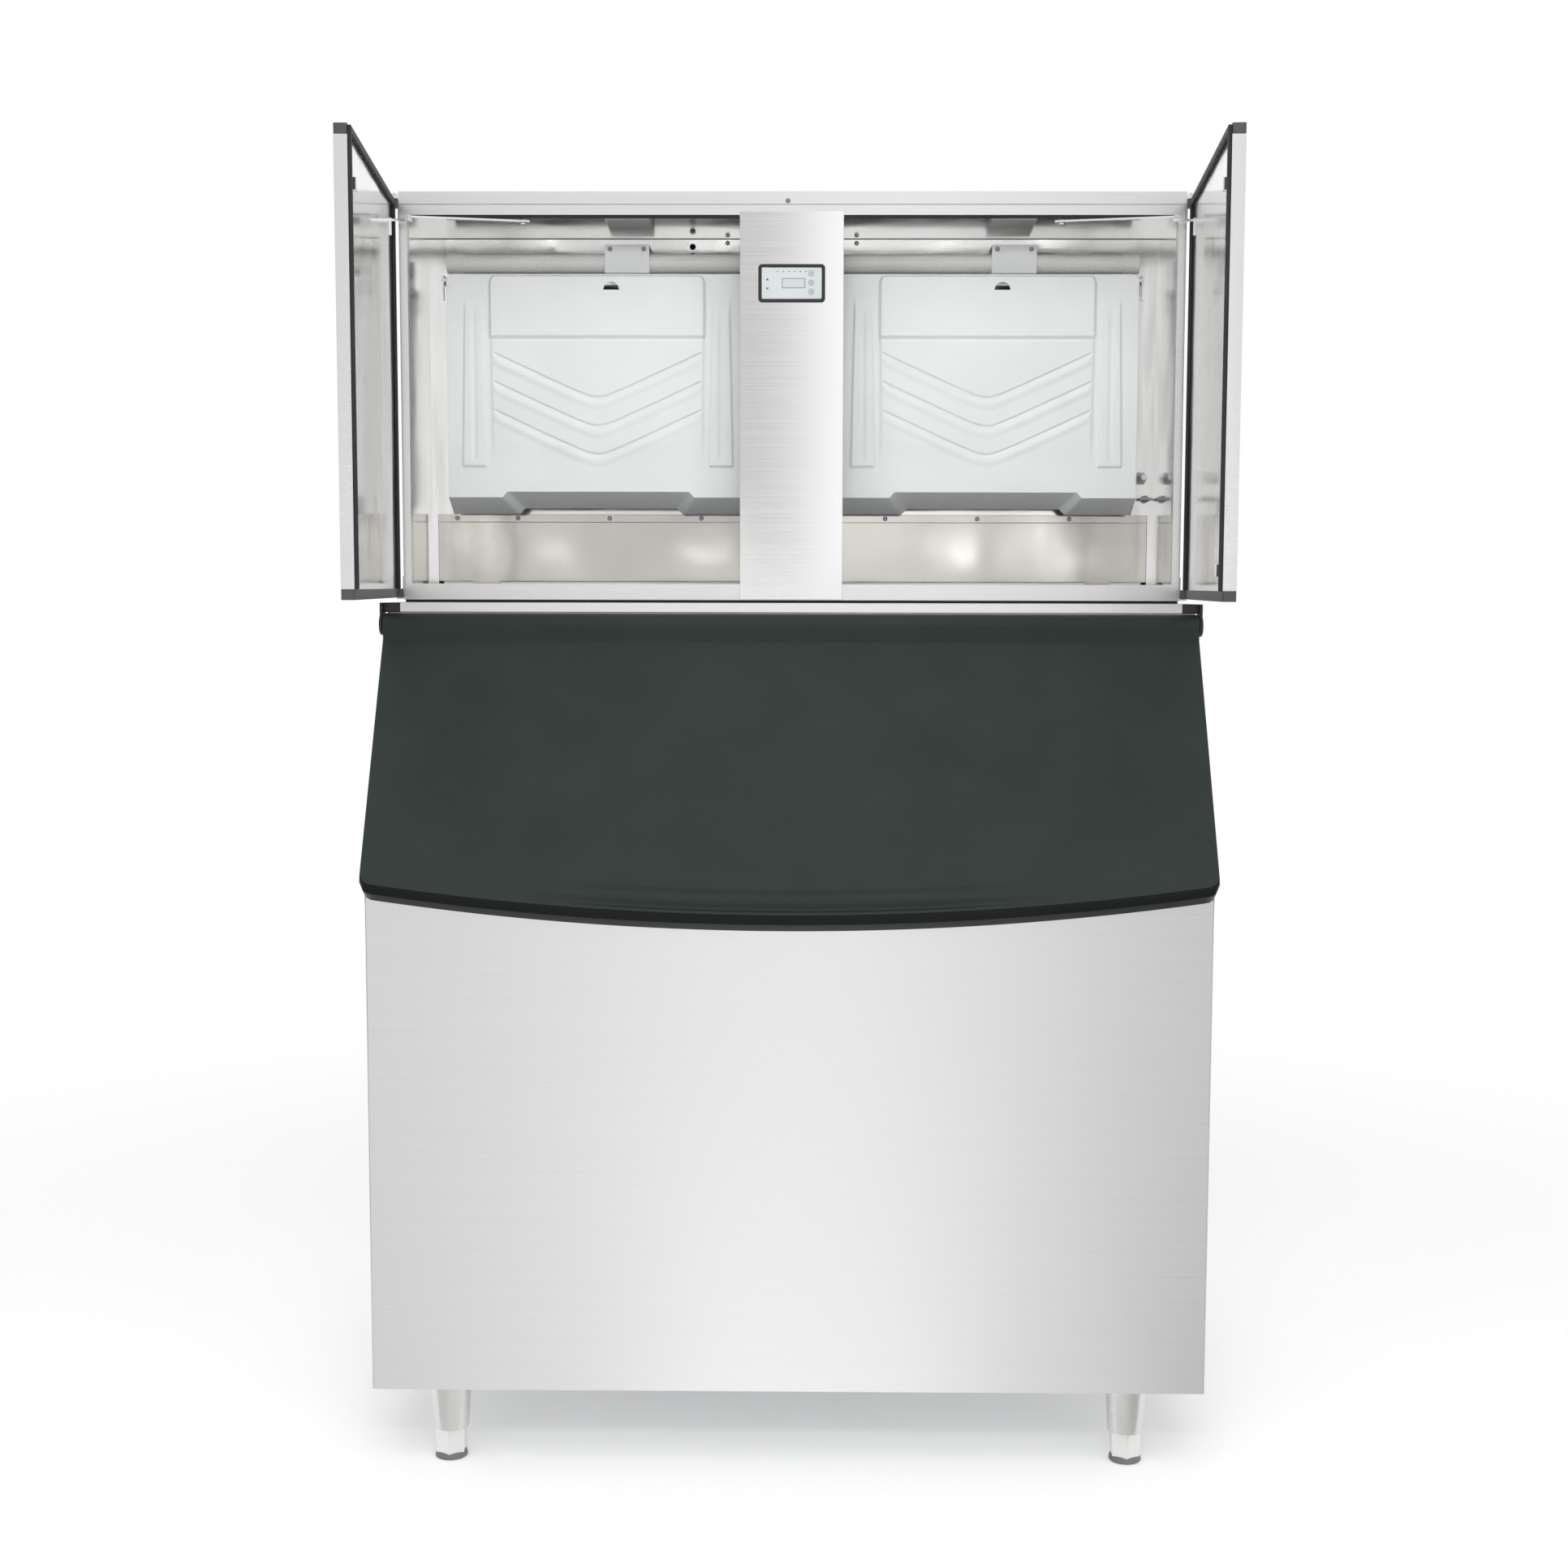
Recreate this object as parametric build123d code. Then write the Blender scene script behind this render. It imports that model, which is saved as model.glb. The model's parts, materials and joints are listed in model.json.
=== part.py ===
from build123d import *
import os
from math import atan2, cos, degrees, hypot, radians, sin, sqrt

# Modular ice machine: a head that makes cubes, with two side-hinged doors, on an insulated bin.
# Millimetres, Z up from the floor. While it is drawn, Y = 0 is the front plane of the head.

# Cabinet sizes
HEAD_WIDTH = 1212.0
HEAD_DEPTH = 585.0
HEAD_HEIGHT = 626.0
BIN_WIDTH = 1230.0
BIN_HEIGHT = 1160.0
LEG_HEIGHT = 120.0
FOAM_STRIP = 4.0
SHEET = 1.5
FIT = 0.3

BIN_Z0 = LEG_HEIGHT
BIN_Z1 = BIN_Z0 + BIN_HEIGHT
HEAD_Z0 = BIN_Z1 + FOAM_STRIP
HEAD_Z1 = HEAD_Z0 + HEAD_HEIGHT
HEAD_HALF = HEAD_WIDTH / 2
BIN_HALF = BIN_WIDTH / 2

# Front frame of the head
STILE = 13.0
RAIL_DEPTH = 18.0
LOW_RAIL = 25.0
COVER_DROP = 20.0
TOP_RAIL = 16.0
COVER_Z0 = HEAD_Z1 - COVER_DROP
OPENING_HALF = HEAD_HALF - STILE
OPENING_Z0 = HEAD_Z0 + LOW_RAIL
OPENING_Z1 = COVER_Z0 - TOP_RAIL
POST_WIDTH = 160.0
POST_RETURN = 16.0
POST_LAP = 6.0
STRIP_HEIGHT = 4.5

# Food zone
WALL_Y = 195.0
WALL_THICK = 20.0
CEILING_FALL = 6.0
PAN_THICK = 2.0
DROP_Y0 = 32.0
DROP_Y1 = 184.0
DROP_X0 = POST_WIDTH / 2 + 16
DROP_X1 = OPENING_HALF - 33
LEDGE_TOP = HEAD_Z0 + 138.7
LEDGE_FACE = 12.7
LEDGE_STEP = 4.0
GUARD_GAP = 5.0
GUARD_HALF = OPENING_HALF - 10
GUARD_Z0 = HEAD_Z0 + 29.0
TROUGH_HALF = GUARD_HALF - 8
TROUGH_RIM = HEAD_Z0 + 116.0
TROUGH_BACK = WALL_Y + 105
TROUGH_WALL = 2.5
PUMP_X = TROUGH_HALF - 105
PUMP_Y = TROUGH_BACK - 38

# Evaporator plates
CELLS_ACROSS = 9
CELLS_HIGH = 7
CELL_PITCH = 47.0
CELL_WALL = 5.0
CELL_DEPTH = 24.0
EVAP_EDGE = 7.0
EVAP_WIDTH = CELLS_ACROSS * CELL_PITCH + 2 * EVAP_EDGE
EVAP_Z0 = HEAD_Z0 + 156.0
EVAP_Z1 = EVAP_Z0 + CELLS_HIGH * CELL_PITCH + 2 * EVAP_EDGE
EVAP_FRONT = 20.0
EVAP_FLANGE = 10.0

# Water curtains
CURTAIN_WIDTH = 480.0
CURTAIN_TUCK = 10.0
BAY_X = POST_WIDTH / 2 - CURTAIN_TUCK + CURTAIN_WIDTH / 2
CURTAIN_Y = 98.0
CURTAIN_WALL = 3.0
CURTAIN_TOP = HEAD_Z0 + 515.0
CURTAIN_FACE_Z0 = HEAD_Z0 + 163.0
CURTAIN_Z0 = HEAD_Z0 + 138.0
CURTAIN_DEPTH = 70.0
CURTAIN_FOOT = 52.0
FIELD_HALF = 170.0
PANEL_RAISE = 6.0
FIELD_RAISE = 3.0
PANEL_DROP = 97.0
PANEL_STEP = 9.0
CHEVRON_EDGE = 118.0
CHEVRON_FALL = 79.0
CHEVRON_PITCH = 45.0
CHEVRON_GROOVE = 4.0
RIB_X0 = 181.0
RIB_X1 = 213.0
RIB_TOP = 52.0
RIB_LENGTH = 251.0
HOLE_X = 23.0
HOLE_R = 12.5
HOLE_DROP = 18.0
PIN_Y = 104.0
PIN_DROP = 9.0
PIN_R = 3.0
PIN_REACH = 8.0
HANGER_THICK = 2.0
SCOOP_HALF = 150.0
SCOOP_RISE = 8.0

# Water tubes above the curtains
TUBE_R = 15.0
TUBE_Y = 150.0
TUBE_Z = HEAD_Z0 + 538.5
TUBE_OUTER = BAY_X + CURTAIN_WIDTH / 2 + 6
TUBE_INNER = BAY_X - CURTAIN_WIDTH / 2
BRACKET_WIDTH = 72.0
BRACKET_SHIFT = 45.0
BRACKET_TOP = HEAD_Z0 + 566.0
BRACKET_SHEET = 2.0

# Doors
DOOR_OPEN = 85.0
DOOR_LAP = 14.0
DOOR_BACKSET = 5.0
DOOR_THICK = 18.0
DOOR_INNER = -3.0
GASKET_THICK = 5.0
GASKET_WIDTH = 10.0
DOOR_Z0 = HEAD_Z0 + 3.0
DOOR_Z1 = HEAD_Z1 - 13.0
CAP_HEIGHT = 14.0
PIVOT_X = HEAD_HALF + 5.0
DOOR_REACH = PIVOT_X - POST_WIDTH / 2 + DOOR_LAP
PIVOT_Y = -4.0
EAR_R = 4.7
HINGE_PIN_R = 2.5
HINGE_CLEAR = 0.3
LIP = 12.0
DOOR_SHEET = 1.2

# Door stays: a slotted arm on the door, over a stud under the top rail
STAY_X = 26.0
STAY_Y = 24.0
STUD_FROM_PIVOT = (196.0, 16.0)
STUD_R = 2.5
ARM_WIDTH = 13.0
ARM_THICK = 3.0
SLOT_CLEAR = 0.35
SLOT_WALL = 5.0
ARM_Z = OPENING_Z1 - 9.5
ARM_PIN_R = 2.0

# Control panel on the post
BEZEL_WIDTH = 103.0
BEZEL_HEIGHT = 58.0
BEZEL_RIM = 5.0
BEZEL_THICK = 3.0
BEZEL_Z = HEAD_Z0 + 486.5
KEYS = [(-37.5, 5.5), (-37.5, -8.0), (30.0, 15.0), (30.0, 0.8), (30.0, -13.0)]
KEY_R = 4.2
WINDOW = (34.0, 13.5)

# Bin
BIN_FRONT = -288.0
NOSE_Y = -86.0
NOSE_DROP = 58.0
SLOPE_FOOT = 760.0
INSULATION = 48.0
LINER = 3.0
MOUTH_MARGIN = 22.0
MOUTH_HALF = BIN_HALF - INSULATION - MOUTH_MARGIN
MOUTH_TOP = 45.0
MOUTH_END = 358.0
DRAIN_R = 14.0
DRAIN_Y = HEAD_DEPTH - 115
DRAIN_REACH = 24.0

# Lid
ROLL_R = 17.0
ROLL_Y = -105.0
ROLL_Z = BIN_Z1 - 33.0
LID_OVERHANG = 2.0
ROLL_HALF = BIN_HALF + LID_OVERHANG
LID_GAP = 2.5
LID_THICK = 25.0
LID_CORNER = 425.0
LID_MIDDLE = 473.0
LID_WALL = 3.0
LID_LIP = 14.0
LID_ROUND = 9.0
LID_CORNER_R = 16.0
ROD_R = 4.0
CHEEK_THICK = 4.6
FASCIA_HALF = BIN_HALF - 22
FASCIA_Y = -101.0
FASCIA_HEIGHT = 14.0

# Legs
LEG_X = BIN_HALF - 108
LEG_FRONT = BIN_FRONT + 50
LEG_BACK = HEAD_DEPTH - 55
LEG_TOP_R = 31.0
LEG_LOW_R = 27.0
LEG_SIDES = 24
FOOT_HEIGHT = 46.0
FOOT_DISC_R = 25.0
FOOT_FLAT = 23.0
FOOT_DISC = 10.0
FOOT_STUD_R = 6.0
FOOT_STUD = 36.0

# Refrigeration
COMPRESSOR_R = 88.0
COMPRESSOR_HEIGHT = 215.0
COMPRESSOR_EDGE = 18.0
COMPRESSOR_AT = (-330.0, HEAD_DEPTH - 130)
CONDENSER_WIDTH = 410.0
CONDENSER_DEPTH = 55.0
CONDENSER_X = (HEAD_HALF - 46 - CONDENSER_WIDTH, HEAD_HALF - 46)
CONDENSER_Y = (HEAD_DEPTH - 10 - CONDENSER_DEPTH, HEAD_DEPTH - 10)
CONDENSER_HEIGHT = 330.0
FINS = 14
FIN_GAP = 12.0
FAN_R = 128.0
FAN_CLEAR = 5.0
FAN_BLADES = 5
FAN_HUB_R = 30.0
BLADE_WIDTH = 52.0
BLADE_PITCH = 24.0
FAN_DEPTH = 26.0
MOTOR_GAP = 24.0

# The finished machine is moved so that the origin lies under the middle of its box at rest.
SWING = radians(DOOR_OPEN)
DOOR_TIP_Y = PIVOT_Y - DOOR_REACH * sin(SWING) - (DOOR_THICK - DOOR_INNER) * cos(SWING)
SHIFT_Y = -(DOOR_TIP_Y + HEAD_DEPTH) / 2


def block(x0, x1, y0, y1, z0, z1):
    """A box between two corners."""
    middle = Pos((x0 + x1) / 2, (y0 + y1) / 2, (z0 + z1) / 2)
    return middle * Box(x1 - x0, y1 - y0, z1 - z0)


def prism_x(points, x0, x1):
    """A (y, z) outline drawn out along X."""
    return extrude(Plane.YZ.offset(x0) * make_face(Polyline(points, close=True)), x1 - x0)


def prism_z(points, z0, z1):
    """An (x, y) outline drawn out along Z."""
    return extrude(Plane.XY.offset(z0) * make_face(Polyline(points, close=True)), z1 - z0)


def rod(x, y, z, radius, length, axis="Z"):
    """A cylinder that starts at a point and runs along an axis."""
    turn = {"X": (0, 90, 0), "Y": (-90, 0, 0), "Z": (0, 0, 0)}[axis]
    body = Cylinder(radius, length, align=(Align.CENTER, Align.CENTER, Align.MIN))
    return Pos(x, y, z) * Rot(*turn) * body


def peg(x, y, z, radius, length, axis="Z", sides=8):
    """A many-sided pin or bore, as wide across its flats as the round one it stands for."""
    turn = {"X": (0, 90, 0), "Y": (-90, 0, 0), "Z": (0, 0, 0)}[axis]
    body = extrude(RegularPolygon(radius, sides, major_radius=False), length)
    return Pos(x, y, z) * Rot(*turn) * body


def both(shape):
    """A piece and its mirror image on the other side of the machine."""
    return shape + mirror(shape, about=Plane.YZ)


def slope_frame():
    """Unit vectors of the bin's sloping front: down the slope and out of it, as (y, z)."""
    fall_y = BIN_FRONT - NOSE_Y
    fall_z = (BIN_Z0 + SLOPE_FOOT) - (BIN_Z1 - NOSE_DROP)
    length = hypot(fall_y, fall_z)
    down = (fall_y / length, fall_z / length)
    return down, (down[1], -down[0]), length


DOWN, OUT, SLOPE_LENGTH = slope_frame()


def on_slope(s, out):
    """The (y, z) point that lies s down the slope and out from it."""
    y = NOSE_Y + s * DOWN[0] + out * OUT[0]
    z = BIN_Z1 - NOSE_DROP + s * DOWN[1] + out * OUT[1]
    return (y, z)


def slope_prism(s0, s1, out0, out1, x0, x1):
    """A slab that lies along the slope."""
    corners = [on_slope(s0, out0), on_slope(s1, out0), on_slope(s1, out1), on_slope(s0, out1)]
    return prism_x(corners, x0, x1)


def bin_section(inset, slope_inset=None):
    """The side outline of the bin, drawn in all round, with the slope drawn in by its own distance."""
    front, back, nose = BIN_FRONT + inset, HEAD_DEPTH - inset, NOSE_Y + inset
    start = on_slope(0, -inset if slope_inset is None else -slope_inset)
    steep = DOWN[1] / DOWN[0]
    z_nose = start[1] + (nose - start[0]) * steep
    z_front = start[1] + (front - start[0]) * steep
    z0, z1 = BIN_Z0 + inset, BIN_Z1 - inset
    return [(front, z0), (back, z0), (back, z1), (nose, z1), (nose, z_nose), (front, z_front)]


# Head cabinet

def head_base_pan():
    pan = block(-HEAD_HALF + SHEET, HEAD_HALF - SHEET, RAIL_DEPTH, HEAD_DEPTH - SHEET,
                HEAD_Z0, HEAD_Z0 + PAN_THICK)
    hole = block(DROP_X0, DROP_X1, DROP_Y0, DROP_Y1, HEAD_Z0 - 1, HEAD_Z0 + PAN_THICK + 1)
    return pan - both(hole)


def louvres(count, z0, pitch, y0, y1, height):
    """Cutters for a column of slots through a side panel."""
    cut = Part()
    for i in range(count):
        z = z0 + i * pitch
        cut += block(HEAD_HALF - 30, HEAD_HALF + 5, y0, y1, z, z + height)
    return cut


def head_side():
    """Right side panel: a sheet with its front and back edges folded in, and a column of slots."""
    outer = block(HEAD_HALF - 15, HEAD_HALF, RAIL_DEPTH, HEAD_DEPTH - SHEET, HEAD_Z0, COVER_Z0)
    inner = block(HEAD_HALF - 20, HEAD_HALF - SHEET, RAIL_DEPTH + SHEET, HEAD_DEPTH - 2 * SHEET,
                  HEAD_Z0 - 1, COVER_Z0 + 1)
    clear = block(HEAD_HALF - 20, HEAD_HALF - SHEET, 0, HEAD_DEPTH - 60, HEAD_Z0 - 1, COVER_Z0 + 1)
    sheet = outer - inner - clear
    sheet -= block(HEAD_HALF - 20, HEAD_HALF - SHEET, HEAD_DEPTH - 70, HEAD_DEPTH,
                   HEAD_Z0 - 1, HEAD_Z0 + PAN_THICK)
    return sheet - louvres(7, HEAD_Z0 + 120, 40, HEAD_DEPTH - 225, HEAD_DEPTH - 65, 10)


def head_back_panel():
    back = block(-HEAD_HALF, HEAD_HALF, HEAD_DEPTH - SHEET, HEAD_DEPTH, HEAD_Z0, COVER_Z0)
    for i in range(10):
        z = HEAD_Z0 + 40 + i * 30
        back -= block(CONDENSER_X[0] + 10, CONDENSER_X[1] - 10, HEAD_DEPTH - 3, HEAD_DEPTH + 1, z, z + 12)
    return back


def head_top_cover():
    outer = block(-HEAD_HALF, HEAD_HALF, -SHEET, HEAD_DEPTH, COVER_Z0, HEAD_Z1)
    inner = block(-HEAD_HALF + SHEET, HEAD_HALF - SHEET, 0, HEAD_DEPTH - SHEET,
                  COVER_Z0 - 1, HEAD_Z1 - SHEET)
    front = outer.edges().filter_by(Axis.X).group_by(Axis.Z)[-1].group_by(Axis.Y)[0]
    return fillet(front, SHEET) - inner


def front_frame():
    """One folded ring round both bays, open at the back like a channel."""
    half = HEAD_HALF
    ring = block(-half, half, 0, RAIL_DEPTH, HEAD_Z0, COVER_Z0)
    ring -= block(-OPENING_HALF, OPENING_HALF, -1, RAIL_DEPTH + 1, OPENING_Z0, OPENING_Z1)
    inside = block(-half + SHEET, half - SHEET, SHEET, RAIL_DEPTH + 1,
                   HEAD_Z0 + SHEET, COVER_Z0 - SHEET)
    lip = SHEET
    inside -= block(-OPENING_HALF - lip, OPENING_HALF + lip, 0, RAIL_DEPTH + 2,
                    OPENING_Z0 - lip, OPENING_Z1 + lip)
    return ring - inside


def centre_post():
    """A folded cover in front of both rails, with the cut-out for the control panel."""
    half = POST_WIDTH / 2
    face = block(-half, half, -SHEET, 0, HEAD_Z0 + 1, OPENING_Z1 + POST_LAP)
    wing = block(half - SHEET, half, 0, POST_RETURN, OPENING_Z0 + FIT, OPENING_Z1 - FIT)
    hole = block(-BEZEL_WIDTH / 2 + BEZEL_RIM - 1, BEZEL_WIDTH / 2 - BEZEL_RIM + 1, -5, 5,
                 BEZEL_Z - BEZEL_HEIGHT / 2 + BEZEL_RIM - 1, BEZEL_Z + BEZEL_HEIGHT / 2 - BEZEL_RIM + 1)
    return face + both(wing) - hole


def opening_strips():
    """Black strips under the top rail, one over each bay."""
    strip = block(POST_WIDTH / 2 + 1, OPENING_HALF - 1, 2, 6, OPENING_Z1 - STRIP_HEIGHT, OPENING_Z1)
    return both(strip)


def ceiling_z(y):
    """Height of the bay ceiling, which falls towards the back."""
    return OPENING_Z1 - CEILING_FALL * (y - RAIL_DEPTH) / (WALL_Y + WALL_THICK - RAIL_DEPTH)


def bay_liner():
    """Ceiling and side walls of the bays, in one folded sheet."""
    y0, y1 = RAIL_DEPTH, WALL_Y + WALL_THICK
    floor, half = HEAD_Z0 + PAN_THICK, OPENING_HALF
    side = [(y0, floor), (WALL_Y, floor), (WALL_Y, ceiling_z(WALL_Y)), (y0, ceiling_z(y0))]
    ceiling = [(y0, ceiling_z(y0)), (y1, ceiling_z(y1)), (y1, ceiling_z(y1) + SHEET),
               (y0, ceiling_z(y0) + SHEET)]
    wall = prism_x(side, half, half + SHEET)
    return both(wall) + prism_x(ceiling, -half - SHEET, half + SHEET)


def bay_wall():
    """Back wall of the bays, with a window for each evaporator and a gate for the guard panel."""
    half = OPENING_HALF + SHEET
    top = ceiling_z(WALL_Y + WALL_THICK) - FIT
    wall = block(-half, half, WALL_Y, WALL_Y + WALL_THICK, HEAD_Z0 + PAN_THICK, top)
    gate = GUARD_HALF + 1
    wall -= block(-gate, gate, WALL_Y - 1, WALL_Y + WALL_THICK + 1, HEAD_Z0, LEDGE_TOP + FIT)
    reach = EVAP_WIDTH / 2 + FIT
    window = block(BAY_X - reach, BAY_X + reach, WALL_Y - 1, WALL_Y + WALL_THICK + 1,
                   EVAP_Z0 - FIT, EVAP_Z1 + FIT)
    wall -= both(window)
    wall -= rod(-163, WALL_Y - 1, HEAD_Z0 + 572, 5, WALL_THICK + 2, "Y")
    return wall


def evaporator(side):
    """A plate of square cells, with a flange behind the bay wall."""
    x = side * BAY_X
    half = EVAP_WIDTH / 2
    front = WALL_Y - EVAP_FRONT
    back = WALL_Y + WALL_THICK
    plate = block(x - half, x + half, front, back + 4, EVAP_Z0, EVAP_Z1)
    lap = EVAP_FLANGE
    plate += block(x - half - lap, x + half + lap, back, back + 4, EVAP_Z0 - lap, EVAP_Z1 + lap)
    cell = CELL_PITCH - CELL_WALL
    z_mid = (EVAP_Z0 + EVAP_Z1) / 2
    cells = []
    for i in range(CELLS_ACROSS):
        for k in range(CELLS_HIGH):
            cx = x + (i - (CELLS_ACROSS - 1) / 2) * CELL_PITCH
            cz = z_mid + (k - (CELLS_HIGH - 1) / 2) * CELL_PITCH
            cells.append(block(cx - cell / 2, cx + cell / 2, front - 1, front + CELL_DEPTH,
                               cz - cell / 2, cz + cell / 2))
    return plate - cells


def guard_panel():
    """The stainless panel below the curtains, folded forward at its top into the screwed ledge."""
    face = WALL_Y - GUARD_GAP
    edge = face - LEDGE_STEP
    fold = LEDGE_TOP - LEDGE_FACE
    back = WALL_Y + WALL_THICK
    outline = [(face + SHEET, GUARD_Z0), (face, GUARD_Z0), (face, fold), (edge, fold),
               (edge, LEDGE_TOP), (back, LEDGE_TOP), (back, LEDGE_TOP - SHEET),
               (edge + SHEET, LEDGE_TOP - SHEET), (edge + SHEET, fold + SHEET),
               (face + SHEET, fold + SHEET)]
    panel = prism_x(outline, -GUARD_HALF, GUARD_HALF)
    foot = block(GUARD_HALF - 100, GUARD_HALF - 60, face, face + SHEET, HEAD_Z0 + PAN_THICK, GUARD_Z0)
    return panel + both(foot)


def water_trough():
    y0, half, wall = WALL_Y - GUARD_GAP + SHEET, TROUGH_HALF, TROUGH_WALL
    outer = block(-half, half, y0, TROUGH_BACK, HEAD_Z0 + PAN_THICK, TROUGH_RIM)
    inner = block(-half + wall, half - wall, y0 + wall, TROUGH_BACK - wall,
                  HEAD_Z0 + PAN_THICK + 12, TROUGH_RIM + 1)
    return outer - inner


def circulation_pump():
    """A pump that hangs from a plate across the trough, with its motor on top."""
    x, y = PUMP_X, PUMP_Y
    plate = block(x - 55, x + 55, y - 44, TROUGH_BACK, TROUGH_RIM, TROUGH_RIM + 3)
    motor = peg(x, y, TROUGH_RIM + 3, 34, 92, "Z", 24)
    neck = peg(x, y, HEAD_Z0 + 50, 9, TROUGH_RIM - HEAD_Z0 - 50)
    volute = peg(x, y, HEAD_Z0 + 18, 24, 34, "Z", 24)
    spout = peg(x, y, HEAD_Z0 + 36, 8, 40, "X")
    return plate + motor + neck + volute + spout


# Curtains and what holds them

def chevron(index):
    """One V groove across the raised field of a curtain."""
    edge = CURTAIN_TOP - CHEVRON_EDGE - index * CHEVRON_PITCH
    low = edge - CHEVRON_FALL
    g = CHEVRON_GROOVE
    points = [(-FIELD_HALF, edge), (0, low), (FIELD_HALF, edge),
              (FIELD_HALF, edge - g), (0, low - g), (-FIELD_HALF, edge - g)]
    outline = make_face(Polyline([(x, z) for x, z in points], close=True))
    front = CURTAIN_Y - FIELD_RAISE
    # Plane.XZ looks along -Y, so the groove is cut back from the field's face.
    return extrude(Plane.XZ.offset(-front) * outline, -1.6)


def curtain_body():
    """One moulded curtain, drawn about X = 0: an open-backed tray with a kicked-back foot."""
    half = CURTAIN_WIDTH / 2
    y0, y1 = CURTAIN_Y, CURTAIN_Y + CURTAIN_DEPTH
    foot_y = y0 + CURTAIN_FOOT
    fall = (CURTAIN_FACE_Z0 - CURTAIN_Z0) / CURTAIN_FOOT
    outline = [(y0, CURTAIN_TOP), (y0, CURTAIN_FACE_Z0), (foot_y, CURTAIN_Z0),
               (y1 - 3, CURTAIN_Z0 + 30), (y1, CURTAIN_TOP)]
    tray = prism_x(outline, -half, half)
    wall = CURTAIN_WALL
    z_in = CURTAIN_FACE_Z0 + wall * hypot(1, fall) - wall * fall
    reach = y1 + 10
    hollow = [(y0 + wall, CURTAIN_TOP - wall), (y0 + wall, z_in),
              (reach, z_in - fall * (reach - y0 - wall)), (reach, CURTAIN_TOP - wall)]
    raised = [(y, z + SCOOP_RISE) if i in (1, 2) else (y, z) for i, (y, z) in enumerate(hollow)]
    tray -= prism_x(hollow, -half + wall, -SCOOP_HALF - wall)
    tray -= prism_x(hollow, SCOOP_HALF + wall, half - wall)
    tray -= prism_x(raised, -SCOOP_HALF - wall, SCOOP_HALF + wall)
    scoop = [(y0 - 1, CURTAIN_FACE_Z0 - 1), (y0 - 1, CURTAIN_FACE_Z0 + SCOOP_RISE + fall),
             (y1, CURTAIN_FACE_Z0 + SCOOP_RISE - fall * CURTAIN_DEPTH), (y1, CURTAIN_Z0 - 20),
             (y0 - 1, CURTAIN_Z0 - 20)]
    tray -= prism_x(scoop, -SCOOP_HALF, SCOOP_HALF)
    return tray


def curtain(side):
    top = CURTAIN_TOP
    half = CURTAIN_WIDTH / 2
    body = curtain_body()
    step = top - PANEL_DROP
    panel = [(CURTAIN_Y - PANEL_RAISE, top - 2), (CURTAIN_Y - PANEL_RAISE, step),
             (CURTAIN_Y - FIELD_RAISE, step - PANEL_STEP), (CURTAIN_Y, step - PANEL_STEP),
             (CURTAIN_Y, top - 2)]
    raised = prism_x(panel, -FIELD_HALF, FIELD_HALF)
    corners = raised.edges().filter_by(Axis.Y).group_by(Axis.Z)[-1]
    body += fillet(corners, 10)
    field_low = step - PANEL_STEP - 200
    body += block(-FIELD_HALF, FIELD_HALF, CURTAIN_Y - FIELD_RAISE, CURTAIN_Y,
                  field_low, step - PANEL_STEP)
    for i in range(3):
        body -= chevron(i)
    rib = [(RIB_X0, top - RIB_TOP), (RIB_X1, top - RIB_TOP), (RIB_X1 + 4, top - RIB_TOP - RIB_LENGTH),
           (RIB_X0 - 6, top - RIB_TOP - RIB_LENGTH)]
    rib_face = make_face(Polyline(rib, close=True))
    body += both(extrude(Plane.XZ.offset(-CURTAIN_Y) * rib_face, FIELD_RAISE))
    hole_z = top - HOLE_DROP
    hole = rod(HOLE_X, CURTAIN_Y - 10, hole_z, HOLE_R, 20, "Y")
    hole &= block(HOLE_X - 20, HOLE_X + 20, CURTAIN_Y - 10, CURTAIN_Y + 10, hole_z, hole_z + 20)
    body -= hole
    body += both(peg(half - 1, PIN_Y, top - PIN_DROP, PIN_R, PIN_REACH + 1, "X", 12))
    return Pos(side * BAY_X, 0, 0) * body


def curtain_hangers():
    """Four hooked strips on the bay wall that carry the pins of the curtains."""
    x0 = CURTAIN_WIDTH / 2 + PIN_REACH - HANGER_THICK - 2
    z = CURTAIN_TOP - PIN_DROP
    arm = block(x0, x0 + HANGER_THICK, PIN_Y - 7, WALL_Y, z - 7, z + 7)
    tongue = block(x0, x0 + HANGER_THICK, PIN_Y - 7, PIN_Y + 3, z - 32, z)
    foot = block(x0, x0 + 12, WALL_Y - HANGER_THICK, WALL_Y, z - 12, z + 12)
    hanger = arm + tongue + foot
    hanger -= peg(x0 - 5, PIN_Y, z, PIN_R + 2 * FIT, 20, "X", 12)
    pair = both(hanger)
    return Pos(BAY_X, 0, 0) * pair + Pos(-BAY_X, 0, 0) * pair


def distributor_tubes():
    """Two plastic water tubes, each closed by a larger cap at its outer end."""
    tube = rod(TUBE_INNER, TUBE_Y, TUBE_Z, TUBE_R, TUBE_OUTER - TUBE_INNER - 8, "X")
    cap = peg(TUBE_OUTER - 26, TUBE_Y, TUBE_Z, TUBE_R + 1.2, 26, "X", 32)
    return both(tube + cap)


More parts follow.
